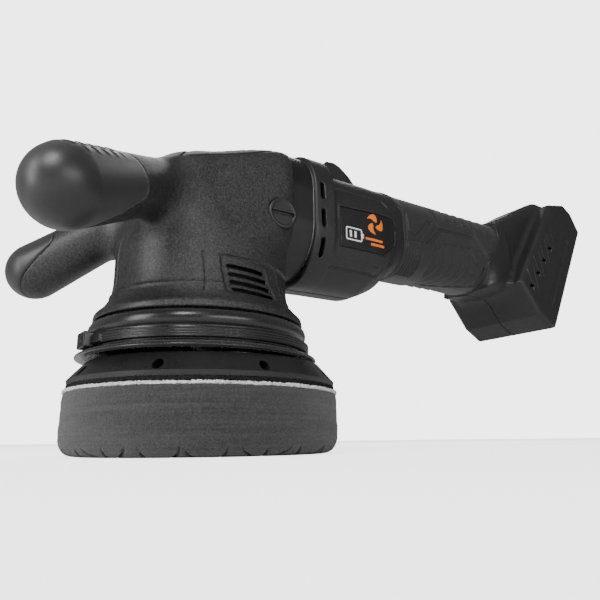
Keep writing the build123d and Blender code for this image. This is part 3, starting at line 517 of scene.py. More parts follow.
# ---- head ----
LEVELS = (79, 90, 101, 112, 127, 146, 162, 171)
HALF_X = (51.6, 50.3, 50.2, 49.5, 46.4, 45.0, 44.0, 39.0)
HALF_Y = (51.6, 50.2, 49.8, 48.8, 45.5, 43.0, 39.8, 33.0)
ROUND = (1.0, 1.0, 0.99, 0.9, 0.75, 0.6, 0.6, 0.6)
CENTRE = (0, 0, 0, 0, 1, 3, 4, 4)
TILT = (0, 0, 0, 2, 7, 13, 18, 20)
CROWN_TOP = 172.8
SIDE_Y = 30.0
PLUG_X = 30.0
PLUG_Z = 130.0
PLUG_R = 9.3
PLUG_FACE = 46.0


def crown(x, y, z):
    """Head without its horns, open below; it finds the height along the leaning section to shape it."""
    w = z + 0.0 * x
    for _ in range(4):
        lean = np.tan(np.radians(curve(w, LEVELS, TILT)))
        w = z - (x - curve(w, LEVELS, CENTRE)) * lean
    half_x = curve(w, LEVELS, HALF_X)
    half_y = curve(w, LEVELS, HALF_Y)
    corner = curve(w, LEVELS, ROUND) * np.minimum(half_x, half_y)
    u = (x - curve(w, LEVELS, CENTRE)) * np.sqrt(1 + lean**2)
    corner = corner * (1 - 0.42 * ease((u + 5.0) / 30.0) * ease((w - 108.0) / 18.0))
    side = rounded(u, y, half_x, half_y, corner - 0.01)
    lip_r = curve(z, (66, 69, 73, 79), (60.0, 59.6, 56.0, 51.6))
    lip = np.maximum(np.hypot(x, y) - lip_r, z - 80.0)
    side = smin(side, lip, 3.0)
    dome = 0.0022 * (u**2 + y**2)
    top = (w - CROWN_TOP + dome) * 0.93
    return smax(side, top, 11.0)


def horn_place(x, y, z, shorter):
    """Distance along a horn from its root, height and side across it, and its length."""
    axis = HORN_TIP - HORN_BASE
    length = np.linalg.norm(axis)
    axis = axis / length
    up = np.array([0, 0, 1.0]) - axis * axis[2]
    up /= np.linalg.norm(up)
    side = np.cross(axis, up)
    roll = math.radians(HORN_ROLL)
    tall = up * math.cos(roll) + side * math.sin(roll)
    wide = -up * math.sin(roll) + side * math.cos(roll)
    dx, dy, dz = x - HORN_BASE[0], y - HORN_BASE[1], z - HORN_BASE[2]
    parts = [dx * d[0] + dy * d[1] + dz * d[2] for d in (axis, tall, wide)]
    return parts[0], parts[1], parts[2], length - shorter


def horn(m, tall, wide, length):
    """Rounded grip of oval section with a bulb end."""
    t = np.clip(m / length, 0, 1)
    radius = curve(t, (0, 0.3, 0.66, 1), (16.5, 14.6, 15.8, 17.2))
    past = np.maximum(m - length, 0) / HORN_CAP
    q = np.sqrt((tall / HORN_FLAT) ** 2 + wide**2 + past**2)
    steep = np.sqrt(tall**2 / HORN_FLAT**4 + wide**2 + (past / HORN_CAP) ** 2)
    return (q - radius) * np.maximum(q, 1e-6) / np.maximum(steep, 1e-6)


def rubber_zone(m, tall):
    """Part of a horn under its rubber: past the ring seam and above the slanting seam."""
    return smax(66.0 - m, -(tall + 2.5 + 0.40 * (m - 67.0)), 6.0)


def palm_zone(x, z, body):
    """Part of the crown under the palm pad."""
    seam = curve(x, (-60, -35, -14, 5, 25, 36, 46), (145, 151, 158, 164.0, 173.0, 180.5, 187))
    zone = smax((seam - z) * 0.93, -44.0 - x, 4.0)
    return smax(zone, body - 3.5, 2.0)


VENT = ((-11.5, 97.5), (60, 96.5), (60, 74.5), (-8.5, 75.0))
BOSSES = ((-41.0, 110.0), (40.0, 86.0), (-39.0, 84.0))


def vent_slots(x, y, z):
    """Four louvre slots, each starting and ending further back than the one above."""
    slots = []
    for i in range(4):
        height = 90.6 - 4.35 * i
        slope = -0.03 * (x - 5)
        start = -6.5 + 0.7 * i
        end = 16.5 + 2.1 * i
        bar = rounded(x - (start + end) / 2, z - height - slope, (end - start) / 2, 1.15, 1.1)
        slots.append(bar)
    return np.maximum(either(*slots), 30.0 - y)


def head_detail(x, y, z, outer):
    """Side recess, creases and seams pressed into the head's skin; y is the outward side."""
    side = np.clip((y - 25.0) / 5.0, 0, 1)
    zone = polygon(x, z, VENT)
    outer = outer + side * 1.3 * ease(-zone / 1.4)
    outer = outer + side * groove(path(x, z, ((-19, 97.5), (-18, 92), (-17.5, 82), (-19, 76))), 0.9, 1.0)
    outer = outer + side * groove(segment(x, z, (26, 96.5), (36, 74)), 0.9, 0.8)
    outer = outer - side * groove(segment(x, z, (17.6, 93.2), (26.4, 75.2)), 0.9, 0.8)
    outer = outer - side * groove(segment(x, z, (-7.5, 93.6), (17.6, 93.2)), 0.6, 0.35)
    outer = outer + groove(y, 0.8, 0.7)
    notch = rounded(x - 37.0, z - 180.5, 6.0, 3.2, 1.5)
    outer = outer + 2.2 * ease(-notch / 1.5) * np.clip((y - 12.0) / 3.0, 0, 1)
    return outer


def head_form(shorter):
    """The head's whole outer skin with one horn."""

    def form(x, y, z):
        body = crown(x, y, z)
        m, tall, wide, length = horn_place(x, y, z, shorter)
        grip = horn(m, tall, wide, length)
        return body, grip, smin(body, grip, HORN_FILLET), m, tall, wide, length

    return form


def head_shell(shorter, holes):
    form = head_form(shorter)

    def field(x, y, z):
        body, grip, whole, m, tall, wide, length = form(x, y, z)
        outer = head_detail(x, y, z, whole)
        zone = np.maximum(rubber_zone(m, tall), grip - 2.0) - SEAM_GAP
        outer = recess(outer, zone, WALL)
        outer = recess(outer, palm_zone(x, z, body) - SEAM_GAP, 2.7)
        outer = both(outer, SHELL_Z - z)
        outer = smax(outer, np.minimum(x - HEAD_CUT_X, z - 101.5), 0.7)
        bore = both(np.hypot(tall, wide) - 9.5, m - length, -4.0 - m)
        hollow = np.minimum(body + WALL, bore)
        shell = both(outer, -hollow)
        shell = both(shell, -vent_slots(x, y, z))
        for bx, bz in BOSSES:
            across = np.hypot(x - bx, z - bz)
            shell = np.minimum(shell, both(across - 4.8, whole + 0.5))
            shell = hole_cut(shell, across, 2.0, -whole - 2.0)
            if holes:
                reach = 0.72 * math.sqrt(52.6**2 - bx**2)
                shell = hole_cut(shell, across, 3.7, y - reach + 1.0)
        across = np.hypot(x - PLUG_X, z - PLUG_Z)
        shell = hole_cut(shell, across, PLUG_R + SEAM_GAP, y - SIDE_Y)
        return smax(shell, -y, 0.3)

    return field


def hole_cut(shell, across, radius, beyond):
    """Cut a round hole where beyond is positive."""
    return np.maximum(shell, np.minimum(radius - across, beyond))


def horn_grip(shorter):
    form = head_form(shorter)

    def field(x, y, z):
        body, grip, whole, m, tall, wide, length = form(x, y, z)
        top = ease((tall - 13.0) / 4.0) * ease((m - 72.0) / 6.0) * ease((length + 8.0 - m) / 8.0)
        outer = whole - 0.5 * top * scales(m, wide + 40.0, 7.0, 5.5)
        zone = rubber_zone(m, tall) + SEAM_GAP
        outer = smax(outer, zone, 1.0)
        return both(outer, -(grip + WALL))

    return field


def palm_pad(x, y, z):
    y = np.abs(y)
    body = crown(x, y, z)
    m, tall, wide, length = horn_place(x, y, z, 0.0)
    whole = smin(body, horn(m, tall, wide, length), HORN_FILLET)
    zone = palm_zone(x, z, body) + SEAM_GAP
    inner = ease((-zone - 2.2) / 1.2)
    outer = whole - 0.35 - 0.9 * inner * scales(x, y + 2.9, 8.0, 5.8)
    outer = smax(outer, zone, 1.2)
    return both(outer, -(whole + 2.6))


def vent_shade_sheet(x, y, z):
    """Painted shade: a thin dark sheet just inside the louvres, so that the slots read as dark openings.
    """
    sheet = np.abs(crown(x, y, z) + WALL + 2.6) - 0.5
    return both(sheet, polygon(x, z, ((-14, 99), (34, 99), (34, 74), (-14, 74))), 20.0 - y)


def plug_field(x, y, z):
    """Round slotted cover set into the side of the head."""
    body = crown(x, y, z)
    across = np.hypot(x - PLUG_X, z - PLUG_Z)
    rim = smax(across - PLUG_R, y - PLUG_FACE, 1.0)
    slot = rounded(x - PLUG_X, z - PLUG_Z, 7.6, 1.15, 0.3)
    dish = np.minimum(PLUG_R - 2.0 - across, y - PLUG_FACE + 0.7)
    plug = both(rim, dish, np.minimum(-slot, y - PLUG_FACE + 2.4))
    return both(plug, -(body + 4.5), 20.0 - y)


def place_side(name, side, mesh, slot, nodes=(), paint=None):
    """Housing piece on one side; fields are written for the right and mirrored to the left."""
    points, faces = mirrored(*mesh) if side == "left" else mesh
    add_piece(name, points, faces, "housing", MATERIALS[paint or slot], nodes)


def build_head():
    shell_low = (-116.0, -1.5, SHELL_Z - 3.0)
    shell_high = (56.0, 104.0, 190.0)
    for side, shorter in (("left", -HORN_LEFT_LONGER), ("right", HORN_RIGHT_SHORTER)):
        shell = skin(head_shell(shorter, side == "right"), shell_low, shell_high, 0.75)
        name = f"head_shell_{side}"
        place_side(f"{name}_skin", side, shell, "shell_plastic", [name])
        grip = skin(horn_grip(shorter), (-116, 20, 70), (-40, 104, 160), 0.8)
        name = f"horn_grip_{side}"
        place_side(f"{name}_skin", side, grip, "horn_rubber", [name])
    plug_low = (PLUG_X - 12, 34, PLUG_Z - 12)
    plug_high = (PLUG_X + 12, 56, PLUG_Z + 12)
    plug = skin(plug_field, plug_low, plug_high, 0.4)
    # painted shade: dark sheet inside the louvres on each side
    shade_sheet = skin(vent_shade_sheet, (-16, 24, 72), (36, 52, 101), 0.6)
    for side in SIDES:
        place_side(f"vent_shade_sheet_{side}", side, shade_sheet, "badge_black")
    place_side("side_plug_left", "left", plug, "plug_plastic", ["side_plugs"])
    place_side("side_plug_right", "right", plug, "plug_plastic")
    pad = skin(palm_pad, (-50, -50, 140), (44, 50, 192), 0.7)
    place_side("palm_pad_skin", "right", pad, "palm_rubber", ["palm_pad"])


# ---- pad and boot ----
CHANNEL_PITCH = 19.0


def to_channel(across):
    """Distance to the nearest of the foam's evenly spaced channels."""
    return np.abs(np.mod(across / CHANNEL_PITCH + 0.5, 1) - 0.5) * CHANNEL_PITCH


def foam_field(x, y, z):
    """Foam disc with a soft bottom edge, face channels and nicks where they reach the rim."""
    r = np.hypot(x - PAD_X, y)
    angle = np.arctan2(y, x - PAD_X)
    belly = 0.5 * np.sin((z - FOAM_Z) / 32.0 * math.pi)
    waver = 0.12 * np.sin(7 * angle + 0.4 * z) + 0.08 * np.sin(19 * angle - 0.9 * z)
    side = r - (FOAM_R - 0.55 + belly) + waver
    body = smax(side, FOAM_Z - z, 9.0)
    body = smax(body, z - LOOP_Z, 1.2)
    channel = to_channel(x - PAD_X)
    other = to_channel(0.5 * (x - PAD_X) + 0.866 * y)
    third = to_channel(0.5 * (x - PAD_X) - 0.866 * y)
    depth = 2.5 + 2.2 * ease((r - FOAM_R + 9.0) / 7.0)
    nick = either(channel, other, third) - 0.55 * ease((FOAM_Z + depth + 1.0 - z) / depth) - 0.1
    return np.maximum(body, np.minimum(-nick, FOAM_Z + depth - z))


def smooth_outline(points, count):
    """Closed outline resampled with rounded corners."""
    p = np.array(points, float)
    for _ in range(count):
        q = np.roll(p, -1, 0)
        p = np.stack([0.75 * p + 0.25 * q, 0.25 * p + 0.75 * q], 1).reshape(-1, 2)
    return p


def fuzz(seed, amount, rise):
    """Random raggedness of a fabric edge."""

    def shake(r, z, angle):
        random = np.random.default_rng(seed)
        wave = np.sin(angle * 13 + 1.0) * 0.12 + np.sin(angle * 31) * 0.1
        outside = r > r.max() - 1.5
        r = r + outside * (amount * random.uniform(-1, 0.8, r.shape))
        z = z + outside * (rise * random.uniform(-1, 1, r.shape) + rise * wave)
        return r, z

    return shake


def ring_outline(inner, outer, z0, z1, rows):
    """Rectangle outline with extra points up its outer wall."""
    wall = [(outer, z0 + (z1 - z0) * i / rows) for i in range(rows + 1)]
    return [(inner, z0), (outer - 2.0, z0)] + wall + [(outer - 2.0, z1), (inner, z1)]


def build_pad():
    points, faces = skin(
        foam_field,
        (PAD_X - FOAM_R - 2, -FOAM_R - 2, FOAM_Z - 2),
        (PAD_X + FOAM_R + 2, FOAM_R + 2, LOOP_Z + 2),
        0.8,
    )
    add_piece("foam_pad_skin", points, faces, "pad", MATERIALS["foam"], ["foam_pad"])
    outline = ring_outline(4.0, LOOP_R, LOOP_Z + 0.05, HOOK_Z, 4)
    points, faces = lathe(outline, 900, PAD_X, fuzz(3, 0.65, 0.34))
    add_piece("loop_ring", points, faces, "pad", MATERIALS["loop_fabric"], ["loop_layer"])
    outline = ring_outline(11.2, HOOK_R, HOOK_Z + 0.3, PLATE_Z, 5)
    points, faces = lathe(outline, 1100, PAD_X, fuzz(5, 0.7, 0.3))
    add_piece("hook_ring", points, faces, "pad", MATERIALS["hook_fabric"], ["hook_disc"])


BOOT = (
    (54.0, 69.3),
    (56.9, 69.3),
    (56.9, 65.0),
    (60.4, 64.4),
    (62.0, 61.6),
    (61.8, 58.6),
    (60.2, 56.6),
    (60.6, 55.6),
    (60.6, 49.8),
    (60.0, 49.2),
    (62.6, 48.6),
    (66.4, 47.6),
    (68.0, 46.2),
    (67.0, 45.0),
    (62.6, 45.2),
    (58.0, 48.6),
    (56.0, 52.0),
)


STRAP_Z = 52.7
STRAP_TURN = 184
LOCK_Z = 52.9


def strap_field(x, y, z):
    """Thin ribbed band with a square lock and the tail of the strap."""
    angle = math.radians(STRAP_TURN)
    u = x * math.cos(angle) + y * math.sin(angle)
    v = -x * math.sin(angle) + y * math.cos(angle)
    r = np.hypot(x, y)
    rib = 0.22 * np.cos((z - STRAP_Z) * 2 * math.pi / 1.25)
    band = both(r - 63.4 + rib, 60.8 - r, np.abs(z - STRAP_Z) - 2.5)
    lock = smax(rounded(v, z - LOCK_Z, 6.0, 4.3, 1.0), np.abs(u - 64.7) - 2.8, 0.8)
    lock = smax(lock, -(np.hypot(v - 1.5, z - LOCK_Z) - 2.0), 0.4)
    lock = smin(lock, smax(np.hypot(v - 1.5, z - LOCK_Z) - 1.5, np.abs(u - 65.5) - 1.6, 0.4), 0.3)
    tail = both(rounded(v - 10.5, z - STRAP_Z, 5.0, 2.0, 0.5), r - 64.6, 62.9 - r, -u)
    return either(band, both(lock, 60.8 - r), tail)


def build_boot():
    points, faces = lathe(smooth_outline(BOOT, 2), 220)
    add_piece("boot_skin", points, faces, "housing", MATERIALS["boot_rubber"], ["boot"])
    points, faces = skin(strap_field, (-70, -70, 47), (70, 70, 59), 0.42)
    strap = MATERIALS["strap_plastic"]
    add_piece("strap_skin", points, faces, "housing", strap, ["boot_strap"])


# ---- motor housing, grip and foot ----
GRIP_END = 262.0
TUBE_X = (60, 108, 122, 134, 146, GRIP_END)
TUBE_Z = (140.0, 140.0, 142.5, 148.8, 151.0, 151.0)
TUBE_Y = (37.0, 37.0, 35.5, 30.6, 28.0, 28.0)
TUBE_H = (41.0, 41.0, 38.5, 34.1, 31.5, 31.5)
FOOT_POCKET = 12.0
RAIL_LOW = np.array([298.0, 87.0])
RAIL_HIGH = np.array([356.0, 186.0])
RAIL_LENGTH = float(np.linalg.norm(RAIL_HIGH - RAIL_LOW))
RAIL_UP = (RAIL_HIGH - RAIL_LOW) / RAIL_LENGTH
RAIL_OUT = np.array([RAIL_UP[1], -RAIL_UP[0]])
RAIL_MID = (RAIL_LOW + RAIL_HIGH) / 2


def tube(x, y, z):
    """Drum and grip as one tube running back."""
    half_y = curve(x, TUBE_X, TUBE_Y)
    half_z = curve(x, TUBE_X, TUBE_H)
    corner = 0.86 * np.minimum(half_y, half_z)
    return rounded(y, z - curve(x, TUBE_X, TUBE_Z), half_y, half_z, corner) * 0.96


def rail_place(x, z):
    """Distances up the rail face and out of it."""
    dx, dz = x - RAIL_MID[0], z - RAIL_MID[1]
    return dx * RAIL_UP[0] + dz * RAIL_UP[1], dx * RAIL_OUT[0] + dz * RAIL_OUT[1]


HALF_RAIL = RAIL_LENGTH / 2
SLAB = (
    (-HALF_RAIL, -5.0),
    (-HALF_RAIL + 4.5, 0),
    (HALF_RAIL, 0),
    (HALF_RAIL + 9.5, -18.0),
    (HALF_RAIL + 9.5, -30.0),
    (HALF_RAIL - 5.0, -46.0),
    (-HALF_RAIL + 12.0, -54.0),
    (-HALF_RAIL, -24.0),
)
WEB = (
    (236, 183.0),
    (257, 181.5),
    (318, 214.5),
    (333, 213.5),
    (346.6, 198.5),
    (272.8, 114.9),
    (258, 119),
    (236, 120),
)


def foot(x, y, z):
    """Slanted slab and the spine that joins it to the grip."""
    up, out = rail_place(x, z)
    slab = smax(polygon(up, out, SLAB), np.abs(y) - 39.0, 5.0)
    half = curve(z, (105, 125, 150, 220), (33.0, 29.0, 25.0, 25.0))
    web = smax(polygon(x, z, WEB), np.abs(y) - half, 12.0)
    return smin(slab, web, 5.0)


def star_place(i):
    """Station and height of one star vent, counted from the bottom."""
    return 272.5 + 10.6 * i, 123.0 + 12.7 * i


def foot_detail(x, y, z, outer):
    """Star vents, slanting lines and a plain sunk bar on each side of the foot."""
    side = np.clip((y - 35.0) / 2.0, 0, 1)
    for i in range(4):
        sx, sz = star_place(i)
        right = segment(x, z, (sx + 3.0, sz + 20.0), (sx + 6.5, sz - 2.0))
        left = segment(x, z, (sx - 4.5, sz + 13.0), (sx - 1.5, sz + 4.0))
        outer = outer + side * groove(np.minimum(right, left), 0.8, 0.7)
    bar = segment(x, z, (294, 109), (330, 171)) - 3.0
    outer = outer + side * 0.6 * ease(-bar / 0.8)
    return outer


def star_outline():
    points = []
    for k in range(8):
        r = 4.0 if k % 2 == 0 else 1.7
        turn = math.radians(45 * k + 15)
        points.append((r * math.cos(turn), r * math.sin(turn)))
    return points


def star_holes(x, y, z):
    holes = []
    for i in range(4):
        sx, sz = star_place(i)
        holes.append(polygon(x - sx, z - sz, star_outline()))
    return np.maximum(either(*holes), 20.0 - y)


# Millimetres round the grip for each degree
GIRTH_STEP = 0.515


def sleeve_zone(x, y, z):
    """Negative between the sleeve's two edges; also gives the girth place in mm."""
    turn = np.degrees(np.arctan2(z - GRIP_Z, np.abs(y) + 1e-6))
    front = curve(turn, (-90, 18, 24, 43, 65, 90), (143, 141, 138, 130, 125, 123))
    rear = curve(turn, (-90, -60, -27, 0, 33, 90), (238, 234.5, 234, 243, 252, 255))
    return front - x, x - rear, turn * GIRTH_STEP


def around(points):
    """Outline given in (station, degrees round the grip) as millimetres."""
    return [(station, degrees * GIRTH_STEP) for station, degrees in points]


NOTCHED = around(
    [
        (143.5, 24),
        (146.5, 23),
        (148, -4),
        (154, -6),
        (166, 20),
        (173, 20),
        (158, -19),
        (143.5, -21),
    ]
)
CHANNEL = around(
    [
        (163, -18),
        (180, 14),
        (218, 16),
        (231, -14),
        (226.5, -17),
        (215.5, 7.5),
        (182, 6),
        (168, -19),
    ]
)
HEEL = around(
    [
        (171, -29),
        (182, -9),
        (213, -6),
        (222, -29),
        (231, -31),
        (233, -64),
        (176, -95),
        (170, -55),
    ]
)
FAN = around([(145.5, -29), (160, -29), (163, -72), (146.5, -72)])
BROW = around(
    [
        (187, 80),
        (187, 25),
        (221, 25),
        (236, -6),
        (243, 10),
        (249, 80),
    ]
)
SPLIT = around([(174, 95), (177, 21), (177, 16), (158, -20)])
RIDGE = around([(177, 20), (219, 20), (234, -18)])


def steps(along, pitch):
    """Saw-tooth ribs, 0 to 1."""
    return np.mod(along / pitch, 1.0)


def sleeve_relief(x, y, z):
    """How far the sleeve's pattern stands below its plain surface."""
    ahead, behind, girth = sleeve_zone(x, y, z)
    sink = ease(-polygon(x, girth, NOTCHED) / 0.6)
    sink = sink + ease(-polygon(x, girth, CHANNEL) / 0.6)
    heel = ease(-polygon(x, girth, HEEL) / 0.8)
    lean = x + 0.012 * (girth + 12.0) ** 2
    sink = sink + heel * (0.45 + 0.95 * steps(-lean, 9.2) ** 1.5)
    fan = ease(-polygon(x, girth, FAN) / 0.6)
    sweep = x + 0.05 * (girth + 26.0)
    sink = sink + fan * 0.8 * (0.5 + 0.5 * np.cos(sweep * 2 * math.pi / 2.55))
    brow = ease(-polygon(x, girth, BROW) / 0.8)
    bow = x - 0.02 * (girth - 10.0) ** 2 * 0.6
    sink = sink + brow * 0.9 * steps(-bow, 9.4) ** 1.5
    sink = sink + groove(np.abs(path(x, girth, SPLIT) - 1.0), 0.6, 0.6)
    sink = sink + groove(np.abs(path(x, girth, RIDGE) - 1.0), 0.6, 0.6)
    edge = np.minimum(-ahead, -behind)
    sink = sink + groove(np.abs(edge - 1.9), 0.7, 0.8)
    sink = sink + groove(np.abs(edge - 4.0), 0.6, 0.6)
    teeth = (np.mod(girth / 1.3, 1.0) < 0.45) & (-behind > 2.2) & (-behind < 3.8)
    return sink + 0.3 * teeth


def sleeve_field(x, y, z):
    wall = tube(x, y, z)
    ahead, behind, _ = sleeve_zone(x, y, z)
    outer = wall + sleeve_relief(x, y, z)
    outer = smax(outer, np.maximum(ahead, behind) + SEAM_GAP, 0.8)
    return both(outer, -(wall + SLEEVE_T))


def drum_detail(x, y, z, outer):
    """Raised side panel with its grooves and the seat of the badge."""
    side = np.clip((y - 18.0) / 4.0, 0, 1)
    panel = polygon(x, z, ((60, 161), (117, 161), (130, 148), (129, 128), (114, 110), (60, 110)))
    outer = outer - side * 0.5 * ease(-panel / 1.0)
    outer = outer + side * groove(path(x, z, ((74, 161.6), (117, 161.6), (128, 151.5))), 1.1, 1.1)
    outer = outer + side * groove(path(x, z, ((74, 109.4), (114, 109.4), (125, 120.5))), 1.0, 1.0)
    outer = outer + side * groove(segment(x, z, (76, 114.2), (113, 114.2)), 0.7, 0.6)
    lip = polygon(x, z, BADGE)
    outer = outer - side * groove(np.abs(lip - 1.0), 1.2, 0.4) * (z > 140)
    return outer


BADGE = ((78, 148.6), (125.5, 150.6), (129, 146), (127.5, 132), (115, 122), (78, 122))


def badge_zone(x, z, grow):
    return polygon(x, z, BADGE) - grow


def collar(x, y, z):
    wall = rounded(y, z - 145.0, 39.0, 45.0, 34.3)
    return smax(wall, np.maximum(FLANGE_X - x, x - COLLAR_X), 1.6)


def collar_slots(x, y, z):
    slots = []
    for lo, hi in ((113, 124.5), (131, 143), (149.5, 161)):
        along = x - 64.0 + 0.03 * (z - 137.0)
        slots.append(rounded(along, z - (lo + hi) / 2, 1.6, (hi - lo) / 2, 1.5))
    return np.maximum(either(*slots), 20.0 - y)


def motor_shell(holes):
    def field(x, y, z):
        wall = tube(x, y, z)
        body = both(drum_detail(x, y, z, wall), FLANGE_X + 1.0 - x, x - GRIP_END)
        ahead, behind, _ = sleeve_zone(x, y, z)
        body = recess(body, np.maximum(ahead, behind) - SEAM_GAP, SLEEVE_T)
        rim = collar(x, y, z)
        rear = foot(x, y, z)
        rear_skin = foot_detail(x, y, z, rear)
        clear = np.maximum(np.maximum(ahead, behind) - 0.4, -(wall + SLEEVE_T + 0.2))
        rear_skin = both(rear_skin, 236.0 - x, -clear)
        outer = smin(body, rim, 2.0)
        outer = np.where(x > 225, smin(outer, rear_skin, 4.0), outer)
        outer = recess(outer, np.maximum(badge_zone(x, z, 0.12), 20.0 - y), 1.2)
        outer = outer + groove(y, 0.8, 0.7)
        up, out = rail_place(x, z)
        pocket = both(rounded(up - 31.0, y, 77.0, 31.0, 2.5), -FOOT_POCKET - out)
        ledge = smax(rounded(y - 29.5, out + 3.5, 1.6, 1.6, 0.5), np.abs(up - 8.0) - 36.0, 0.5)
        pocket = np.maximum(pocket, -ledge)
        drum_hollow = both(wall + WALL, x - 133.0)
        grip_hollow = both(wall + WALL + SLEEVE_T, 130.0 - x, x - GRIP_END)
        foot_hollow = both(rear + WALL, out + FOOT_POCKET + WALL, 246.0 - x)
        hollow = either(drum_hollow, grip_hollow, foot_hollow)
        hollow = np.minimum(hollow, both(np.hypot(y, z - MOTOR_Z) - 35.5, x - 80.0))
        web = both(wall + 0.5, np.abs(x - 124.75) - 4.2, 11.0 - np.hypot(y, z - MOTOR_Z))
        shell = both(outer, -hollow)
        shell = np.minimum(shell, web)
        shell = both(shell, -pocket, -collar_slots(x, y, z), -star_holes(x, y, z))
        shell = both(shell, -switch_slot(x, y, z), -panel_seat(x, y, z))
        if holes:
            for hx, hz, deep in SCREW_HOLES:
                across = np.hypot(x - hx, z - hz)
                shell = hole_cut(shell, across, 3.6, y - deep)
        return smax(shell, -y, 0.3)

    return field


# Side screws of the housing: station, height and depth of the seat
SCREW_HOLES = (
    (154.0, 130.0, 11.8),
    (238.0, 131.0, 11.8),
    (238.0, 171.0, 11.8),
    (280.6, 112.7, 32.8),
    (326.4, 194.8, 32.8),
)
DISPLAY_LOW = np.array([257.0, 181.5])
DISPLAY_HIGH = np.array([318.0, 215.0])


def display_place(x, z):
    """Distances up the display slope and out of it, from its middle."""
    run = (DISPLAY_HIGH - DISPLAY_LOW) / np.linalg.norm(DISPLAY_HIGH - DISPLAY_LOW)
    middle = (DISPLAY_LOW + DISPLAY_HIGH) / 2
    dx, dz = x - middle[0], z - middle[1]
    return dx * run[0] + dz * run[1], -dx * run[1] + dz * run[0]


def switch_slot(x, y, z):
    return both(rounded(x - 94.5, y, 9.9, 4.3, 0.5), 175.0 - z)


def panel_seat(x, y, z):
    """Seat of the display panel with the ways through for its buttons."""
    up, out = display_place(x, z)
    seat = both(rounded(up, y, 27.0, 17.0, 1.0), -2.2 - out)
    through = both(rounded(up + 6.0, y, 18.0, 14.0, 1.0), -9.0 - out)
    return np.minimum(seat, through)


def badge_plate(x, y, z):
    """Thin label lying on the drum."""
    wall = tube(x, y, z)
    plate = smax(badge_zone(x, z, -0.1), wall - 0.05, 0.35)
    return both(plate, -(wall + 1.15), 20.0 - y)


def swirl(x, z):
    """Three hooked blades round a centre, as a plain emblem."""
    u, v = x - 107.0, z - 142.0
    r = np.hypot(u, v)
    turn = np.degrees(np.arctan2(v, u)) - 9.0 * r
    wedge = np.abs(np.mod(turn, 120.0) - 60.0) - 34.0
    return both(wedge * r * 0.0175, r - 7.2, 1.7 - r)


def emblem(x, y, z):
    """Orange swirl with two short bars under it."""
    long_bar = rounded(x - 106.0, z - 130.6, 7.5, 0.9, 0.4)
    short_bar = rounded(x - 109.0, z - 127.4, 6.0, 0.9, 0.4)
    return printed(x, y, z, either(swirl(x, z), long_bar, short_bar))


def battery_mark(x, y, z):
    """White outline of a battery with two bars in it."""
    case = np.abs(rounded(x - 89.0, z - 131.5, 6.2, 4.0, 1.0)) - 0.55
    knob = rounded(x - 96.0, z - 131.5, 1.0, 1.6, 0.3)
    bars = rounded(np.abs(x - 88.2) - 1.9, z - 131.5, 0.9, 2.3, 0.2)
    return printed(x, y, z, either(case, knob, bars))


def printed(x, y, z, shape):
    wall = tube(x, y, z)
    return both(shape, wall - 0.16, -(wall + 0.4), 20.0 - y)


def build_badges():
    pieces = (
        ("badge", badge_plate, "badge_black", 0.5),
        ("emblem", emblem, "orange_print", 0.35),
        ("battery_mark", battery_mark, "white_print", 0.3),
    )
    for label, field, paint, step in pieces:
        mesh = skin(field, (76, 18, 120), (131, 42, 153), step)
        for side in SIDES:
            name = f"{label}_{side}"
            nodes = [name] if label == "badge" else []
            place_side(f"{name}_skin", side, mesh, "badge_black", nodes, paint)


def build_motor():
    shell_low = (FLANGE_X - 2, -1.5, 66.0)
    shell_high = (362.0, 47.0, 222.0)
    for side in SIDES:
        shell = skin(motor_shell(side == "right"), shell_low, shell_high, 0.75)
        name = f"motor_shell_{side}"
        place_side(f"{name}_skin", side, shell, "housing_plastic", [name])
    sleeve = skin(sleeve_field, (118, -36, 114), (262, 36, 188), 0.6)
    place_side("grip_sleeve_skin", "right", sleeve, "grip_rubber", ["grip_sleeve"])


# ---- carried-over CAD nodes ----
def paint_nodes():
    for name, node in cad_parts.items():
        slot = node_slot(name)
        node.data.materials.clear()
        node.data.materials.append(MATERIALS[slot])


NODE_SLOTS = {
    "side_plugs": "plug_plastic",
    "gear_case": "gloss_black",
    "bearing_retainer": "retainer_aluminium",
    "stator": "stator_iron",
    "motor_shaft": "machined_steel",
    "drive_spindle": "machined_steel",
    "pad_spindle": "machined_steel",
    "spindle_spacer": "machined_steel",
    "pad_bearing_spacer": "machined_steel",
    "rotor_core": "rotor_iron",
    "magnets": "magnet",
    "cooling_fan": "fan_plastic",
    "bevel_pinion": "gear_steel",
    "bevel_wheel": "gear_steel",
    "counterweight": "cast_weight",
    "backing_plate": "plate_plastic",
    "display_panel": "display_gloss",
    "light_pipe": "light_pipe",
    "terminals": "contact_brass",
    "wiring": "wire_sheath",
    "power_switch": "switch_plastic",
    "air_baffle": "inner_plastic",
    "terminal_block": "inner_plastic",
    "microswitch": "inner_plastic",
    "badge_left": "badge_black",
    "badge_right": "badge_black",
}
SLOT_WORDS = (
    ("screws", "zinc_steel"),
    ("bolt", "zinc_steel"),
    ("washer", "zinc_steel"),
    ("button", "button_plastic"),
    ("board", "circuit_board"),
    ("ring", "spring_steel"),
    ("bearing", "bearing_steel"),
)


def node_slot(name):
    if name in NODE_SLOTS:
        return NODE_SLOTS[name]
    for word, slot in SLOT_WORDS:
        if name.endswith(word) or name.endswith(word + "s"):
            return slot
    return "housing_plastic"


# ---- stage ----
CAMERA_AT = (-123.9, -299.2, 6.8)
CAMERA_HEADING = 57.0
CAMERA_PITCH = 14.35
CAMERA_ROLL = 0.65
CAMERA_LENS = 33.0


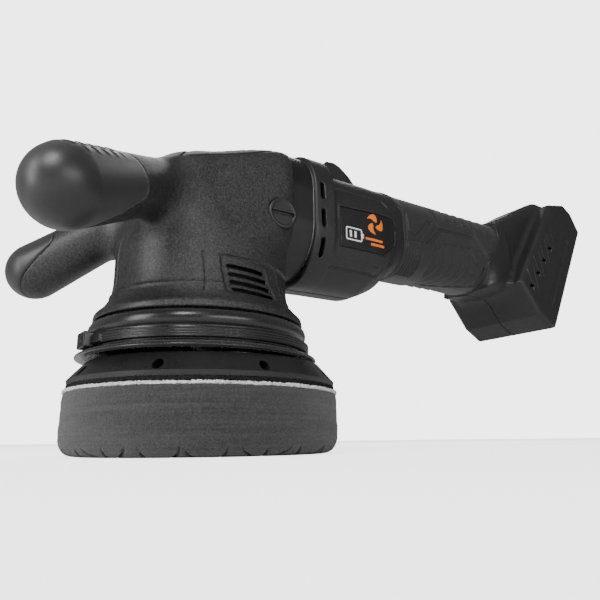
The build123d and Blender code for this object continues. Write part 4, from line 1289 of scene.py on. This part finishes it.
def place_camera():
    data = bpy.data.cameras.new("camera")
    data.lens = CAMERA_LENS
    data.sensor_width = 36.0
    camera = bpy.data.objects.new("camera", data)
    bpy.context.scene.collection.objects.link(camera)
    heading = math.radians(CAMERA_HEADING)
    pitch = math.radians(CAMERA_PITCH)
    flat = Vector((math.cos(heading), math.sin(heading), 0))
    forward = flat * math.cos(pitch) + Vector((0, 0, 1)) * math.sin(pitch)
    right = Vector((math.sin(heading), -math.cos(heading), 0))
    up = right.cross(forward)
    turn = math.radians(CAMERA_ROLL)
    level = right * math.cos(turn) - up * math.sin(turn)
    above = up * math.cos(turn) + right * math.sin(turn)
    rows = Matrix((level, above, -forward)).transposed()
    camera.matrix_world = Matrix.Translation(Vector(CAMERA_AT) * MM) @ rows.to_4x4()
    data.clip_start = 0.01
    bpy.context.scene.camera = camera


FLOOR_GLOW = 2.2


def softbox(name, at, target, size, power):
    data = bpy.data.lights.new(name, "AREA")
    data.shape = "RECTANGLE"
    data.size, data.size_y = size
    data.energy = power
    light = bpy.data.objects.new(name, data)
    bpy.context.scene.collection.objects.link(light)
    light.location = at
    aim = Vector(target) - Vector(at)
    light.rotation_euler = aim.to_track_quat("-Z", "Y").to_euler()
    return light


def set_world():
    """Plain pale surroundings: white to the camera, softer as a light."""
    world = bpy.data.worlds.new("studio")
    bpy.context.scene.world = world
    world.use_nodes = True
    tree = world.node_tree
    tree.nodes.clear()
    out = tree.nodes.new("ShaderNodeOutputWorld")
    mix = tree.nodes.new("ShaderNodeMixShader")
    seen = tree.nodes.new("ShaderNodeBackground")
    lit = tree.nodes.new("ShaderNodeBackground")
    ray = tree.nodes.new("ShaderNodeLightPath")
    seen.inputs["Color"].default_value = (1, 1, 1, 1)
    seen.inputs["Strength"].default_value = 4.0
    lit.inputs["Color"].default_value = (1, 1, 1, 1)
    lit.inputs["Strength"].default_value = 0.16
    tree.links.new(ray.outputs["Is Camera Ray"], mix.inputs["Fac"])
    tree.links.new(lit.outputs["Background"], mix.inputs[1])
    tree.links.new(seen.outputs["Background"], mix.inputs[2])
    tree.links.new(mix.outputs["Shader"], out.inputs["Surface"])


def floor_material():
    """Pale paper that looks brighter to the camera than the light it gives back."""
    paper = surface("floor_paper", grey(0.84), grey(0.90), (0.85, 0.95), 3.0, 0.02)
    tree = paper.node_tree
    shader = tree.nodes["Principled BSDF"]
    ray = tree.nodes.new("ShaderNodeLightPath")
    shader.inputs["Emission Color"].default_value = (1, 1, 1, 1)
    tree.links.new(
        spread(tree, ray.outputs["Is Camera Ray"], (0, 1), (0, FLOOR_GLOW)),
        shader.inputs["Emission Strength"],
    )
    return paper


def lay_floor():
    mesh = bpy.data.meshes.new("floor")
    half = 6.0
    corners = [(-half, -half, 0), (half, -half, 0), (half, half, 0), (-half, half, 0)]
    mesh.from_pydata(corners, [], [(0, 1, 2, 3)])
    mesh.materials.append(floor_material())
    floor = bpy.data.objects.new("floor", mesh)
    bpy.context.scene.collection.objects.link(floor)


def light_scene():
    centre = (0.08, 0.0, 0.12)
    softbox("key", (-0.75, -0.70, 0.95), (-0.02, 0.0, 0.13), (0.5, 0.5), 13.0)
    softbox("fill", (0.1, -1.1, 0.30), (0.0, 0.0, 0.10), (0.8, 0.4), 4.5)
    softbox("rim", (0.5, 0.9, 0.9), centre, (1.0, 0.6), 8.0)
    softbox("side", (-1.0, -0.1, 0.35), centre, (0.30, 0.8), 7.0)


build_head()
build_pad()
build_boot()
build_motor()
build_badges()
paint_nodes()
set_world()
lay_floor()
light_scene()
place_camera()

bpy.context.view_layer.update()
